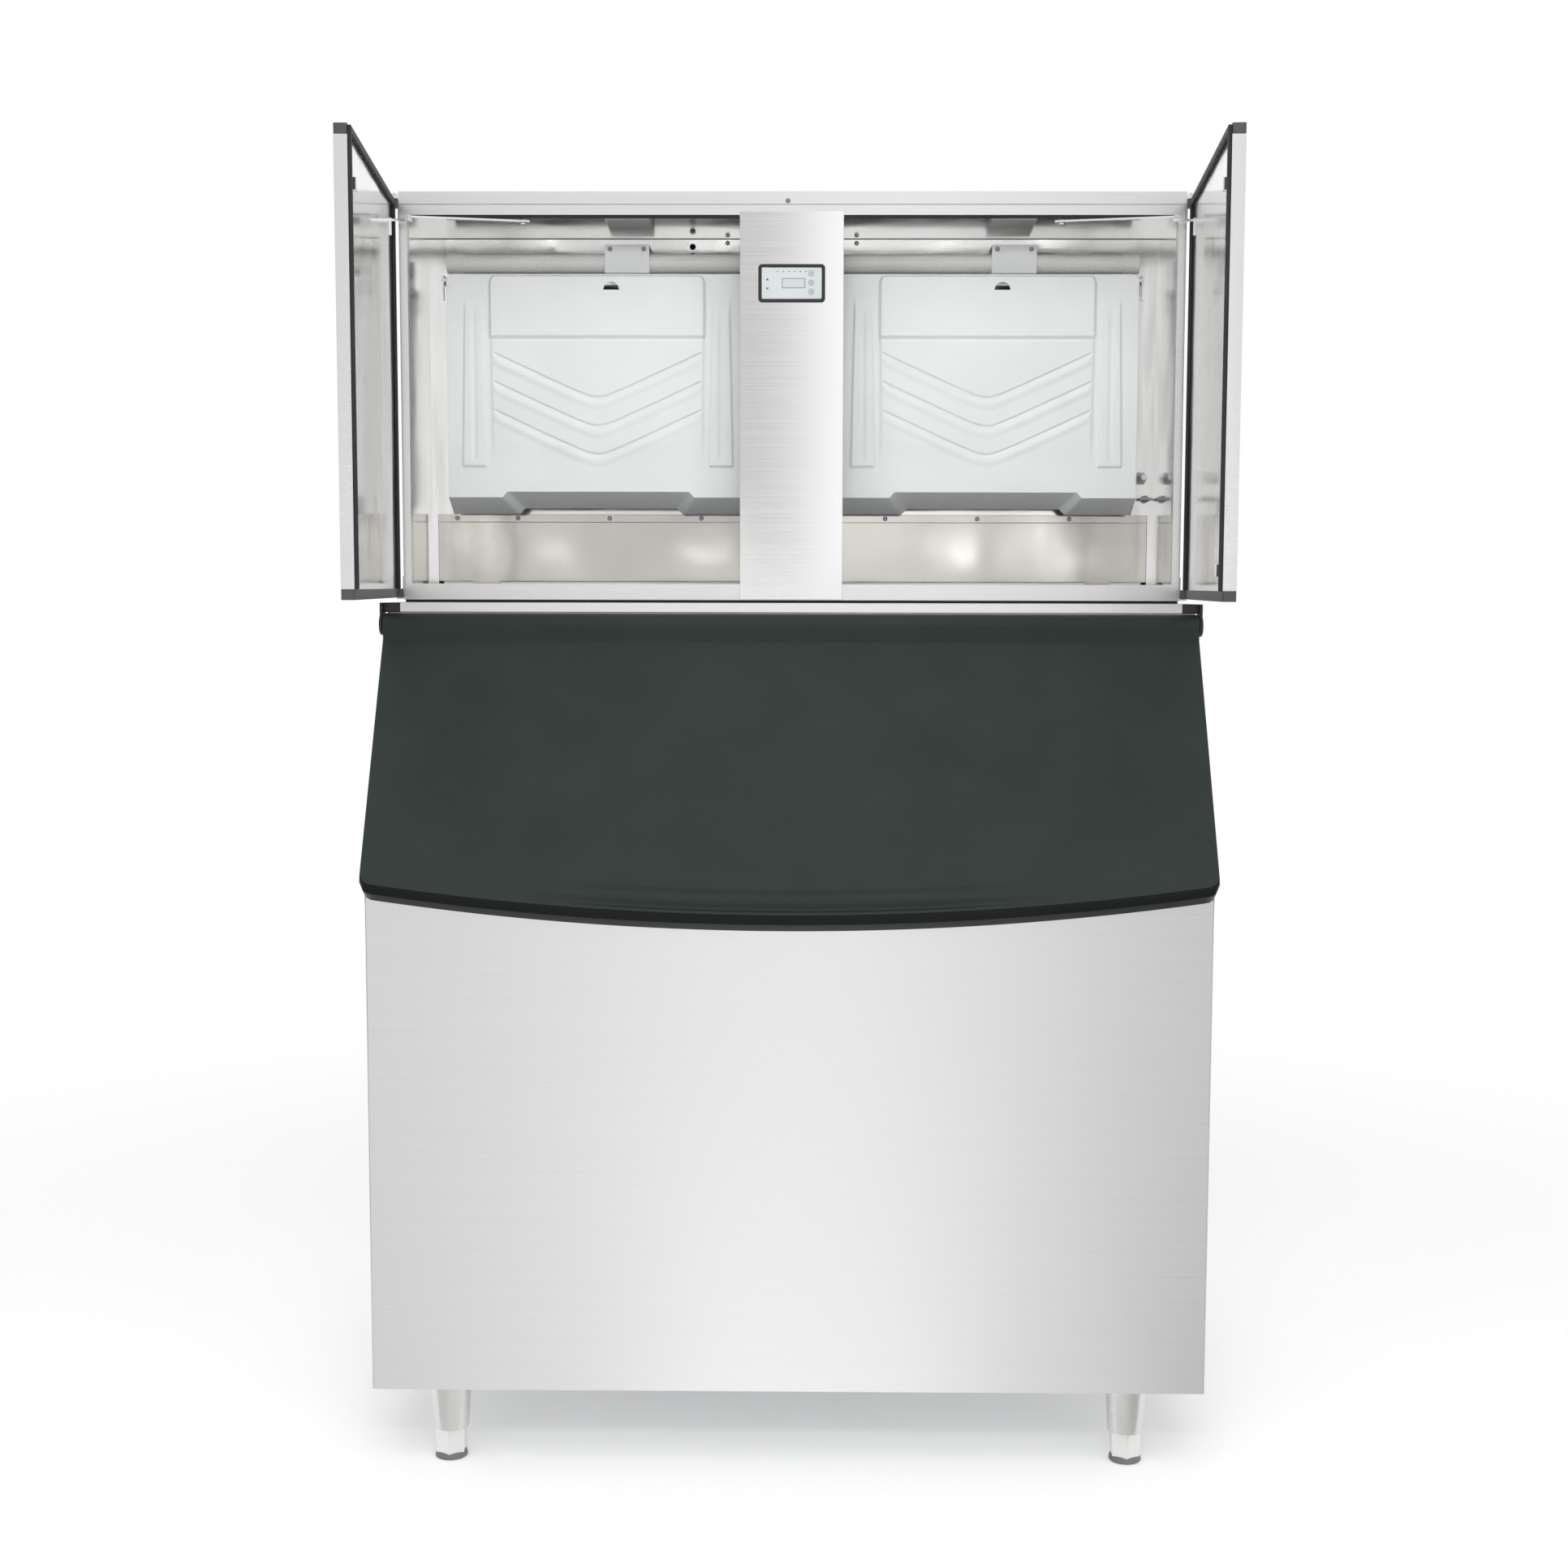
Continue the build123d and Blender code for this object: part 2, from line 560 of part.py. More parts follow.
def tube_brackets():
    """A bent strip round each tube, with its foot on the bay wall."""
    t = BRACKET_SHEET
    front = TUBE_Y - TUBE_R - FIT
    low = TUBE_Z - TUBE_R - FIT
    outline = [(front - t, low - t), (TUBE_Y + 8, low - t), (TUBE_Y + 8, low), (front, low),
               (front, BRACKET_TOP - t), (WALL_Y - t, BRACKET_TOP - t), (WALL_Y - t, BRACKET_TOP - 16),
               (WALL_Y, BRACKET_TOP - 16), (WALL_Y, BRACKET_TOP), (front - t, BRACKET_TOP)]
    strips = Part()
    for side in (-1, 1):
        x = side * BAY_X + BRACKET_SHIFT
        strips += prism_x(outline, x - BRACKET_WIDTH / 2, x + BRACKET_WIDTH / 2)
    return strips


def hose_fitting():
    """A barbed water fitting that stands forward from the bay wall."""
    x, z = OPENING_HALF - 22, HEAD_Z0 + 199
    nut = extrude(Plane.XZ.offset(8 - WALL_Y) * Pos(x, z) * RegularPolygon(11, 6), -8)
    tail = peg(x, WALL_Y - 26, z, 6, 18, "Y", 12)
    barb = extrude(RegularPolygon(5, 12), 20, taper=-8)
    return nut + tail + Pos(x, WALL_Y - 45, z) * Rot(-90, 0, 0) * barb


def wing_knob():
    """The knob that holds the water trough, low on the right."""
    x, z = OPENING_HALF - 14, HEAD_Z0 + 165
    knob = peg(x, WALL_Y - 12, z, 6, 12, "Y", 12)
    knob += block(x - 11, x + 11, WALL_Y - 20, WALL_Y - 8, z - 2, z + 2)
    return knob


def screws():
    """Round screw heads: along the ledge, on the back wall, on the tube brackets and on the hem."""
    ledge_y = WALL_Y - GUARD_GAP - LEDGE_STEP
    z = LEDGE_TOP - LEDGE_FACE / 2
    places = [(32 - GUARD_HALF, ledge_y, z)] + [(2 + 151 * i, ledge_y, z) for i in range(-3, 4)]
    places += [(x, WALL_Y, HEAD_Z0 + h) for x in (-106, 104) for h in (550, 578)]
    front = TUBE_Y - TUBE_R - FIT - BRACKET_SHEET
    for side in (-1, 1):
        middle = side * BAY_X + BRACKET_SHIFT
        places += [(middle + dx, front, BRACKET_TOP - 7) for dx in (-27, 27)]
    places += [(-6, -SHEET, COVER_Z0 + 5)]
    heads = Part()
    for x, y, z in places:
        heads += peg(x, y - 2, z, 3.8, 2, "Y", 6)
    return heads


# Doors, drawn closed with the hinge pin at X = 0, Y = 0, then swung open and placed

def swing_open(shape, side):
    """Turns a closed left-hand piece to its open place, and mirrors it for the right-hand door."""
    turned = Pos(-PIVOT_X, PIVOT_Y, 0) * Rot(0, 0, -DOOR_OPEN) * shape
    return turned if side < 0 else mirror(turned, about=Plane.YZ)


def door_skin(side):
    """A sheet folded round the front and both upright edges, with lips on the inner face."""
    x0, x1 = DOOR_BACKSET, DOOR_REACH
    y1 = DOOR_INNER
    y0 = y1 - DOOR_THICK
    t = DOOR_SHEET
    z0, z1 = DOOR_Z0 + CAP_HEIGHT, DOOR_Z1 - CAP_HEIGHT
    skin = block(x0, x1, y0, y1, z0, z1)
    skin -= block(x0 + t, x1 - t, y0 + t, y1 - t, z0 - 1, z1 + 1)
    skin -= block(x0 + LIP, x1 - LIP, y1 - 2 * t, y1 + 1, z0 - 1, z1 + 1)
    return swing_open(skin, side)


def door_inner_panel(side):
    """The insulated core with its bright inner sheet, held by the lips of the skin."""
    x0, x1 = DOOR_BACKSET, DOOR_REACH
    y1 = DOOR_INNER
    y0 = y1 - DOOR_THICK
    t = DOOR_SHEET + FIT
    z0, z1 = DOOR_Z0 + CAP_HEIGHT, DOOR_Z1 - CAP_HEIGHT
    core = block(x0 + t, x1 - t, y0 + t, y1 - t, z0, z1)
    core += block(x0 + LIP + FIT, x1 - LIP - FIT, y1 - t, y1, z0, z1)
    return swing_open(core, side)


def door_caps(side):
    """Plastic caps on the top and bottom of the door, each with an ear that turns on a hinge pin."""
    x0, x1 = DOOR_BACKSET, DOOR_REACH
    y1 = DOOR_INNER
    y0 = y1 - DOOR_THICK
    caps = Part()
    for z in (DOOR_Z0, DOOR_Z1 - CAP_HEIGHT):
        cap = block(x0, x1, y0, y1, z, z + CAP_HEIGHT)
        upright = cap.edges().filter_by(Axis.Z).group_by(Axis.X)[-1]
        cap = fillet(upright, 3)
        web = [(0, -EAR_R), (x0 + 1, y1 - 4), (x0 + 1, y1 - 0.5), (EAR_R, 0)]
        ear = peg(0, 0, z, EAR_R, CAP_HEIGHT, "Z", 16) + prism_z(web, z, z + CAP_HEIGHT)
        caps += cap + ear - peg(0, 0, z - 1, HINGE_PIN_R + HINGE_CLEAR, CAP_HEIGHT + 2, "Z", 16)
    return swing_open(caps, side)


def door_gasket(side):
    """A black strip down both upright edges and along the top of the inner face."""
    x0, x1 = DOOR_BACKSET + 1, DOOR_REACH - 1
    y0, y1 = DOOR_INNER, DOOR_INNER + GASKET_THICK
    z0, z1 = DOOR_Z0 + CAP_HEIGHT, DOOR_Z1 - 2
    strip = block(x0, x1, y0, y1, z0, z1)
    strip -= block(x0 + GASKET_WIDTH, x1 - GASKET_WIDTH, y0 - 1, y1 + 1, z0 - 1, z1 - GASKET_WIDTH)
    return swing_open(strip, side)


def door_fittings(side):
    """Small catches by the free edge, and the bracket that carries the stay arm."""
    y = DOOR_INNER
    x = DOOR_REACH - 46
    heights = [HEAD_Z0 + 527] if side < 0 else [HEAD_Z0 + 527, HEAD_Z0 + 30]
    parts = Part()
    for z in heights:
        catch = block(x, x + 30, y, y + 3, z, z + 28)
        catch += block(x + 6, x + 24, y + 3, y + 8, z + 6, z + 22)
        parts += catch
    low = ARM_Z - 6
    plate = block(STAY_X - 5, STAY_X + 13, y, y + 2, low - 22, low + 4)
    arm = block(STAY_X - 5, STAY_X + 5, y + 2, STAY_Y + 5, low, low + 4)
    boss = peg(STAY_X, STAY_Y, low + 4, 4.5, ARM_Z - low - 4 - FIT, "Z", 6)
    pin = rod(STAY_X, STAY_Y, ARM_Z - FIT, ARM_PIN_R, ARM_THICK + 2 * FIT)
    head = peg(STAY_X, STAY_Y, ARM_Z + ARM_THICK + FIT, ARM_PIN_R + 1.5, 1)
    parts += plate + arm + boss + pin + head
    return swing_open(parts, side)


def stay_directions():
    """Directions of the stay arm, in degrees, with the door open and with it closed."""
    dx, dy = STUD_FROM_PIVOT
    x, y = stay_pivot(DOOR_OPEN)
    return degrees(atan2(dy - y, dx - x)), degrees(atan2(dy - STAY_Y, dx - STAY_X))


def stay_pivot(opened):
    """Place of the stay's pivot, from the hinge pin, with the left door opened by an angle."""
    a = radians(-opened)
    return STAY_X * cos(a) - STAY_Y * sin(a), STAY_X * sin(a) + STAY_Y * cos(a)


def stud_track():
    """The stud as the arm sees it, along and across, while arm and door turn in a fixed ratio."""
    rest, closed = stay_directions()
    steps = 60
    track = []
    for i in range(steps + 1):
        share = i / steps
        x, y = stay_pivot(DOOR_OPEN * (1 - share))
        dx, dy = STUD_FROM_PIVOT[0] - x, STUD_FROM_PIVOT[1] - y
        turn = radians(rest + share * (closed - rest))
        track.append((dx * cos(turn) + dy * sin(turn), dy * cos(turn) - dx * sin(turn)))
    return [t[0] for t in track], [t[1] for t in track]


def stay_arm(side):
    """A slotted arm that hinges on the door's bracket and slides over the stud."""
    along, across = stud_track()
    x0, x1 = min(along), max(along)
    middle = (min(across) + max(across)) / 2
    slot = STUD_R + (max(across) - min(across)) / 2 + SLOT_CLEAR
    end = x1 + slot + SLOT_WALL
    arm = block(0, end, middle - ARM_WIDTH / 2, middle + ARM_WIDTH / 2, 0, ARM_THICK)
    arm += rod(0, 0, 0, ARM_WIDTH / 2, ARM_THICK)
    arm -= peg(0, 0, -1, ARM_PIN_R + HINGE_CLEAR, ARM_THICK + 2, "Z", 16)
    arm -= block(x0, x1, middle - slot, middle + slot, -1, ARM_THICK + 1)
    for x in (x0, x1):
        arm -= rod(x, middle, -1, slot, ARM_THICK + 2)
    x, y = stay_pivot(DOOR_OPEN)
    placed = Pos(-PIVOT_X + x, PIVOT_Y + y, ARM_Z) * Rot(0, 0, stay_directions()[0]) * arm
    return placed if side < 0 else mirror(placed, about=Plane.YZ)


def stay_studs():
    """Hexagon-headed studs that hang under the top rail, each with a nut against the rail."""
    x = PIVOT_X - STUD_FROM_PIVOT[0]
    y = PIVOT_Y + STUD_FROM_PIVOT[1]
    low = ARM_Z - 3
    stud = rod(x, y, low, STUD_R, OPENING_Z1 - low)
    head = peg(x, y, low - 0.5, STUD_R + 3, 2, "Z", 6)
    nut = peg(x, y, ARM_Z + ARM_THICK + 1, STUD_R + 1.5, OPENING_Z1 - ARM_Z - ARM_THICK - 1, "Z", 6)
    return both(stud + head + nut)


def hinge_brackets():
    """Leaves on the side panels whose tabs carry the hinge pins of the doors, and a cap nut on top."""
    x0 = HEAD_HALF
    tab = 2.0
    pieces = Part()
    for z, up in ((DOOR_Z1 + FIT, 1), (DOOR_Z0 - FIT - tab, -1)):
        leaf_z0 = z - 34 if up > 0 else z
        leaf = block(x0, x0 + SHEET, 3, 40, leaf_z0, leaf_z0 + 36)
        arm = block(x0, PIVOT_X + EAR_R, PIVOT_Y - EAR_R, 40, z, z + tab)
        pin_z = z - 12 if up > 0 else z + tab
        pin = peg(PIVOT_X, PIVOT_Y, pin_z, HINGE_PIN_R, 12, "Z", 16)
        pieces += leaf + arm + pin
    nut = peg(PIVOT_X, PIVOT_Y, DOOR_Z1 + FIT + tab, 4.5, 5, "Z", 6)
    crown = peg(PIVOT_X, PIVOT_Y, DOOR_Z1 + FIT + tab + 5, 3.4, 2, "Z", 12)
    return both(pieces + nut + crown)


# Control panel

def rounded(width, height, radius, y0, y1):
    """An upright plate with rounded corners, centred on the control panel."""
    outline = Plane.XZ.offset(-y1) * Pos(0, BEZEL_Z) * RectangleRounded(width, height, radius)
    return extrude(outline, y1 - y0)


def plate(width, height, y0, y1):
    """An upright plate centred on the control panel."""
    return block(-width / 2, width / 2, y0, y1, BEZEL_Z - height / 2, BEZEL_Z + height / 2)


def control_bezel():
    front = -SHEET - BEZEL_THICK
    hole_w = BEZEL_WIDTH - 2 * BEZEL_RIM
    hole_h = BEZEL_HEIGHT - 2 * BEZEL_RIM
    rim = rounded(BEZEL_WIDTH, BEZEL_HEIGHT, 6, front, -SHEET)
    edge = rim.faces().sort_by(Axis.Y)[0].edges()
    rim = chamfer(edge, 1.0)
    rim += plate(hole_w + 1.4, hole_h + 1.4, -SHEET, 1)
    rim -= plate(hole_w, hole_h, front - 1, -1)
    return rim - plate(hole_w - 8, hole_h - 8, -2, 2)


def control_face():
    """The membrane: a plate with a sunk window and five round keys."""
    width = BEZEL_WIDTH - 2 * BEZEL_RIM - 2 * FIT
    height = BEZEL_HEIGHT - 2 * BEZEL_RIM - 2 * FIT
    front = -SHEET - BEZEL_THICK + 1.5
    face = plate(width, height, front, -1)
    face -= block(3 - WINDOW[0] / 2, 3 + WINDOW[0] / 2, front - 1, front + 0.6,
                  BEZEL_Z - WINDOW[1] / 2, BEZEL_Z + WINDOW[1] / 2)
    for x, z in KEYS:
        face += peg(x, front - 0.5, BEZEL_Z + z, KEY_R, 0.6, "Y", 12)
    return face


# Refrigeration

def compressor():
    """A welded can on a foot plate with four feet, its terminal box and a pipe stub."""
    x, y = COMPRESSOR_AT
    z = HEAD_Z0 + PAN_THICK
    r, h, edge = COMPRESSOR_R, COMPRESSOR_HEIGHT, COMPRESSOR_EDGE
    half = [(0, 0), (r - edge, 0), (r, edge), (r, h - edge), (r - edge, h), (0, h)]
    profile = make_face(Polyline(half, close=True))
    can = Pos(x, y, z + 18) * revolve(Plane.XZ * profile, Axis.Z)
    can += block(x - 105, x + 105, y - 70, y + 70, z + 14, z + 18)
    for dx in (-90, 90):
        for dy in (-56, 56):
            can += peg(x + dx, y + dy, z, 11, 14)
    can += block(x - 30, x + 30, y - r - 26, y - r + 20, z + 70, z + 140)
    return can + peg(x + 30, y + 20, z + h, 6, 60)


def condenser():
    """A finned block between two header plates, against the vents of the back panel."""
    x0, x1 = CONDENSER_X
    y0, y1 = CONDENSER_Y
    z0 = HEAD_Z0 + PAN_THICK
    body = block(x0, x1, y0, y1, z0, z0 + CONDENSER_HEIGHT)
    gaps = []
    pitch = (x1 - x0 - 20) / FINS
    for i in range(FINS):
        x = x0 + 10 + pitch * (i + 0.5)
        gaps.append(block(x - FIN_GAP / 2, x + FIN_GAP / 2, y0 + 12, y1 + 1,
                          z0 + 16, z0 + CONDENSER_HEIGHT - 16))
    return body - gaps


def fan_centre():
    return sum(CONDENSER_X) / 2, CONDENSER_Y[0] - FAN_DEPTH - 6, HEAD_Z0 + PAN_THICK + CONDENSER_HEIGHT / 2


def fan_shroud():
    """A plate with the fan's ring, and a motor held by four struts."""
    x, y, z = fan_centre()
    x0, x1 = CONDENSER_X
    z0 = HEAD_Z0 + PAN_THICK
    back = CONDENSER_Y[0]
    plate = block(x0, x1, back - 3, back, z0, z0 + CONDENSER_HEIGHT)
    ring = peg(x, y - 12, z, FAN_R + FAN_CLEAR + 3, back - y + 12, "Y", 48)
    shroud = plate + ring - peg(x, y - 20, z, FAN_R + FAN_CLEAR, back - y + 40, "Y", 48)
    motor = peg(x, y + 6 - MOTOR_GAP - 44, z, 36, 44, "Y", 24)
    reach = FAN_R + FAN_CLEAR + 2
    for dx, dz in ((1, 0), (-1, 0), (0, 1), (0, -1)):
        a = block(min(x + dx * 30, x + dx * reach, x - 5), max(x + dx * 30, x + dx * reach, x + 5),
                  y - 26, y - 20,
                  min(z + dz * 30, z + dz * reach, z - 5), max(z + dz * 30, z + dz * reach, z + 5))
        motor += a
    legs = Part()
    for dx, dz in ((1, 0), (-1, 0), (0, 1), (0, -1)):
        cx, cz = x + dx * reach, z + dz * reach
        legs += block(cx - 5, cx + 5, y - 26, y - 11, cz - 5, cz + 5)
    shroud += legs - peg(x, y - 40, z, FAN_R + FAN_CLEAR, 80, "Y", 48)
    return shroud + motor


def fan_blade():
    """Five pitched blades on a hub, with a shaft stub towards the motor."""
    x, y, z = fan_centre()
    fan = peg(0, 0, -4, FAN_HUB_R, FAN_DEPTH - 6, "Z", 24)
    fan += peg(0, 0, FIT - MOTOR_GAP, 5, MOTOR_GAP)
    root, tip = FAN_HUB_R - 10, sqrt(FAN_R ** 2 - (BLADE_WIDTH / 2) ** 2)
    for i in range(FAN_BLADES):
        blade = Box(tip - root, BLADE_WIDTH, 2.4, align=(Align.MIN, Align.CENTER, Align.CENTER))
        fan += Rot(0, 0, 360 * i / FAN_BLADES) * Pos(root, 0, 6) * Rot(BLADE_PITCH, 0, 0) * blade
    return Pos(x, y + 6, z) * Rot(-90, 0, 0) * fan


# Bin

def base_gasket():
    ring = block(-HEAD_HALF + 2, HEAD_HALF - 2, 4, HEAD_DEPTH - 4, BIN_Z1, HEAD_Z0)
    return ring - block(-HEAD_HALF + 20, HEAD_HALF - 20, 24, HEAD_DEPTH - 22, BIN_Z1 - 1, HEAD_Z0 + 1)


def drain_hole():
    return peg(0, DRAIN_Y, 0, DRAIN_R + 2 + FIT, BIN_Z0 + INSULATION + 40, "Z", 16)


def drop_hole(grow):
    """The shared way down for the ice, through the deck and the bin's roof."""
    return block(-DROP_X1 - grow, DROP_X1 + grow, DROP_Y0 - grow, DROP_Y1 + grow,
                 BIN_Z1 - INSULATION - 10, BIN_Z1 + 1)


def mouth_hole(grow):
    return slope_prism(MOUTH_TOP - grow, MOUTH_END + grow, -INSULATION - 15, 5,
                       -MOUTH_HALF - grow, MOUTH_HALF + grow)


def bin_wrap():
    """Both sides and the back of the bin, in one folded sheet."""
    side = prism_x(bin_section(0), BIN_HALF - SHEET, BIN_HALF)
    back = block(-BIN_HALF, BIN_HALF, HEAD_DEPTH - SHEET, HEAD_DEPTH, BIN_Z0, BIN_Z1)
    return both(side) + back


def bin_front_panel():
    y0 = BIN_FRONT
    foot = BIN_Z0 + SLOPE_FOOT
    fold = 26.0
    outline = [(y0, BIN_Z0), (y0 + fold, BIN_Z0), (y0 + fold, BIN_Z0 + SHEET),
               (y0 + SHEET, BIN_Z0 + SHEET), (y0 + SHEET, foot - 2), (y0, foot - 2)]
    return prism_x(outline, -BIN_HALF + SHEET, BIN_HALF - SHEET)


def bin_bottom_panel():
    sheet = block(-BIN_HALF + SHEET, BIN_HALF - SHEET, BIN_FRONT + 26, HEAD_DEPTH - SHEET,
                  BIN_Z0, BIN_Z0 + SHEET)
    return sheet - drain_hole()


def bin_top_deck():
    """The deck that carries the head: folded down behind the lid's roll and round the ice drop."""
    half = BIN_HALF - SHEET
    deck = block(-half, half, NOSE_Y, HEAD_DEPTH - SHEET, BIN_Z1 - SHEET, BIN_Z1)
    deck += block(-half, half, NOSE_Y, NOSE_Y + SHEET, BIN_Z1 - NOSE_DROP + 2, BIN_Z1)
    deck += drop_hole(SHEET) & block(-half, half, 0, HEAD_DEPTH, BIN_Z1 - INSULATION, BIN_Z1)
    return deck - drop_hole(0)


def mouth_frame():
    """The white rim round the mouth, on the slope behind the lid, with a neck into the liner."""
    half = BIN_HALF - SHEET
    frame = slope_prism(3, SLOPE_LENGTH - 3, -LINER, 0, -half, half)
    neck = mouth_hole(LINER) & slope_prism(0, SLOPE_LENGTH, -INSULATION, 0, -BIN_HALF, BIN_HALF)
    return frame + neck - mouth_hole(0)


def bin_liner():
    """A moulded tub, open at the mouth, at the ice drop and at the drain."""
    tub = prism_x(bin_section(INSULATION - LINER), -BIN_HALF + INSULATION - LINER,
                  BIN_HALF - INSULATION + LINER)
    hollow = prism_x(bin_section(INSULATION), -BIN_HALF + INSULATION, BIN_HALF - INSULATION)
    return tub - hollow - mouth_hole(LINER) - drop_hole(SHEET) - drain_hole()


def bin_insulation():
    """Foam boards between the liner and the sheets, each a plain board beside its neighbours."""
    inset, reach = SHEET + FIT, BIN_HALF - INSULATION + LINER
    outer, inner = bin_section(inset, LINER + FIT), bin_section(INSULATION - LINER)
    foam = prism_x(outer, -BIN_HALF + inset, BIN_HALF - inset) - prism_x(inner, -reach, reach)
    foam -= mouth_hole(LINER)
    foam -= drop_hole(SHEET)
    foam -= drain_hole()
    floor, knee, roof, nose = inner[0][1], inner[5][1], inner[3][1], outer[4][1]
    y0, y1, z1 = BIN_FRONT, HEAD_DEPTH, BIN_Z1
    foam -= both(block(reach, reach + FIT, y0, y1, BIN_Z0, z1))
    foam -= block(-BIN_HALF, BIN_HALF, y0, y1, nose, nose + FIT)
    foam -= block(-reach, reach, y0, y1, floor - FIT, floor)
    foam -= block(-reach, reach, y0, y1, roof, roof + FIT)
    foam -= block(-reach, reach, y0, inner[3][0], knee, knee + FIT)
    for s in (MOUTH_TOP - LINER - FIT, MOUTH_END + LINER):
        foam -= slope_prism(s, s + FIT, -2 * INSULATION, 5, -reach, reach)
    for y in (DROP_Y0 - SHEET - FIT, DROP_Y1 + SHEET):
        foam -= block(-reach, reach, y, y + FIT, roof, z1)
    return foam


def bin_drain():
    z = BIN_Z0 + INSULATION
    spigot = rod(0, DRAIN_Y, BIN_Z0 - DRAIN_REACH, DRAIN_R, DRAIN_REACH)
    pipe = peg(0, DRAIN_Y, BIN_Z0, DRAIN_R + 2, INSULATION, "Z", 16)
    flange = peg(0, DRAIN_Y, z, DRAIN_R + 12, 3, "Z", 16)
    return spigot + pipe + flange - rod(0, DRAIN_Y, 0, DRAIN_R - 3, z + 10)


def hinge_fascia():
    """The bright strip above the lid's roll."""
    z0 = BIN_Z1 - FASCIA_HEIGHT
    outline = [(FASCIA_Y, z0), (FASCIA_Y + SHEET, z0), (FASCIA_Y + SHEET, BIN_Z1 - SHEET),
               (NOSE_Y, BIN_Z1 - SHEET), (NOSE_Y, BIN_Z1), (FASCIA_Y, BIN_Z1)]
    return prism_x(outline, -FASCIA_HALF, FASCIA_HALF)


def hinge_blocks():
    """Black end blocks, each with a cheek that holds the hinge rod outside the roll."""
    bridge = block(FASCIA_HALF + FIT, ROLL_HALF + FIT + CHEEK_THICK, FASCIA_Y, NOSE_Y,
                   ROLL_Z + ROLL_R + 1.5, BIN_Z1)
    cheek = peg(ROLL_HALF + FIT, ROLL_Y, ROLL_Z, ROLL_R - 1, CHEEK_THICK, "X", 32)
    cheek += block(ROLL_HALF + FIT, ROLL_HALF + FIT + CHEEK_THICK, ROLL_Y - 8, NOSE_Y, ROLL_Z, BIN_Z1)
    hole = peg(ROLL_HALF - 5, ROLL_Y, ROLL_Z, ROD_R + 0.1, CHEEK_THICK + 3, "X", 16)
    return both(bridge + cheek - hole)


def hinge_rod():
    reach = ROLL_HALF + FIT + CHEEK_THICK - 2.7
    return rod(-reach, ROLL_Y, ROLL_Z, ROD_R, 2 * reach, "X")


# Lid, drawn in the plane of the slope

LID_PLANE = Plane(origin=(0, NOSE_Y, BIN_Z1 - NOSE_DROP), x_dir=(1, 0, 0), z_dir=(0, OUT[0], OUT[1]))
LID_TOP = 6.0


def lid_outline(inset, low_inset):
    """The lid's outline: straight top and sides, and a lower edge bowed as one arc."""
    half = ROLL_HALF - inset
    top = -LID_TOP - inset
    corner = -LID_CORNER + low_inset
    middle = -LID_MIDDLE + low_inset
    edges = Polyline([(-half, corner), (-half, top), (half, top), (half, corner)])
    bow = ThreePointArc((half, corner), (0, middle), (-half, corner))
    outline = Sketch() + make_face(edges + bow)
    low = outline.vertices().sort_by(Axis.Y)[:2]
    return fillet(low, LID_CORNER_R - inset / 2)


def lid_slab(inset, low_inset, out0, out1):
    return extrude(LID_PLANE.offset(out0) * lid_outline(inset, low_inset), out1 - out0)


def lid_shell():
    """A moulded black pan with a rounded outer edge, a solid lip, and the roll along its top."""
    out0, out1 = LID_GAP, LID_GAP + LID_THICK
    slab = lid_slab(0, 0, out0, out1)
    outer = slab.faces().sort_by(lambda f: f.center().dot(Vector(0, OUT[0], OUT[1])))[-1]
    rim = [e for e in outer.edges() if e.center().Z < BIN_Z1 - NOSE_DROP - LID_TOP - 20]
    slab = fillet(rim, LID_ROUND)
    slab -= lid_slab(LID_WALL, LID_LIP, out0 - 1, out1 - LID_WALL)
    axis_s = (ROLL_Y - NOSE_Y) * DOWN[0] + (ROLL_Z - BIN_Z1 + NOSE_DROP) * DOWN[1]
    axis_out = (ROLL_Y - NOSE_Y) * OUT[0] + (ROLL_Z - BIN_Z1 + NOSE_DROP) * OUT[1]
    ramp = [on_slope(axis_s, axis_out + ROLL_R - 4), on_slope(LID_TOP + 12, out1),
            on_slope(LID_TOP + 8, out1 - LID_WALL), on_slope(LID_TOP, out1 - LID_THICK / 2),
            on_slope(axis_s, axis_out - ROLL_R + 4)]
    neck = prism_x(ramp, -ROLL_HALF, ROLL_HALF)
    roll = rod(-ROLL_HALF, ROLL_Y, ROLL_Z, ROLL_R, 2 * ROLL_HALF, "X")
    bore = rod(-ROLL_HALF - 1, ROLL_Y, ROLL_Z, ROD_R + FIT, 2 * ROLL_HALF + 2, "X")
    return slab + neck + roll - bore


def lid_inner():
    """The inner panel of the lid, with a shallow raised field."""
    inset = LID_WALL + FIT
    panel = lid_slab(inset, LID_LIP + FIT, LID_GAP, LID_GAP + 3)
    return panel + lid_slab(inset + 8, LID_LIP + 8, LID_GAP + 3, LID_GAP + LID_THICK - LID_WALL - FIT)


def lid_gasket():
    """A soft ring on the inner panel that meets the rim of the mouth."""
    outer = slope_prism(MOUTH_TOP - 22, MOUTH_END + 24, FIT, LID_GAP, -MOUTH_HALF - 24, MOUTH_HALF + 24)
    inner = slope_prism(MOUTH_TOP - 8, MOUTH_END + 10, -1, LID_GAP + 1, -MOUTH_HALF - 10, MOUTH_HALF + 10)
    return outer - inner


# Legs

def corners_of_base():
    return [(x, y) for y in (LEG_FRONT, LEG_BACK) for x in (-LEG_X, LEG_X)]


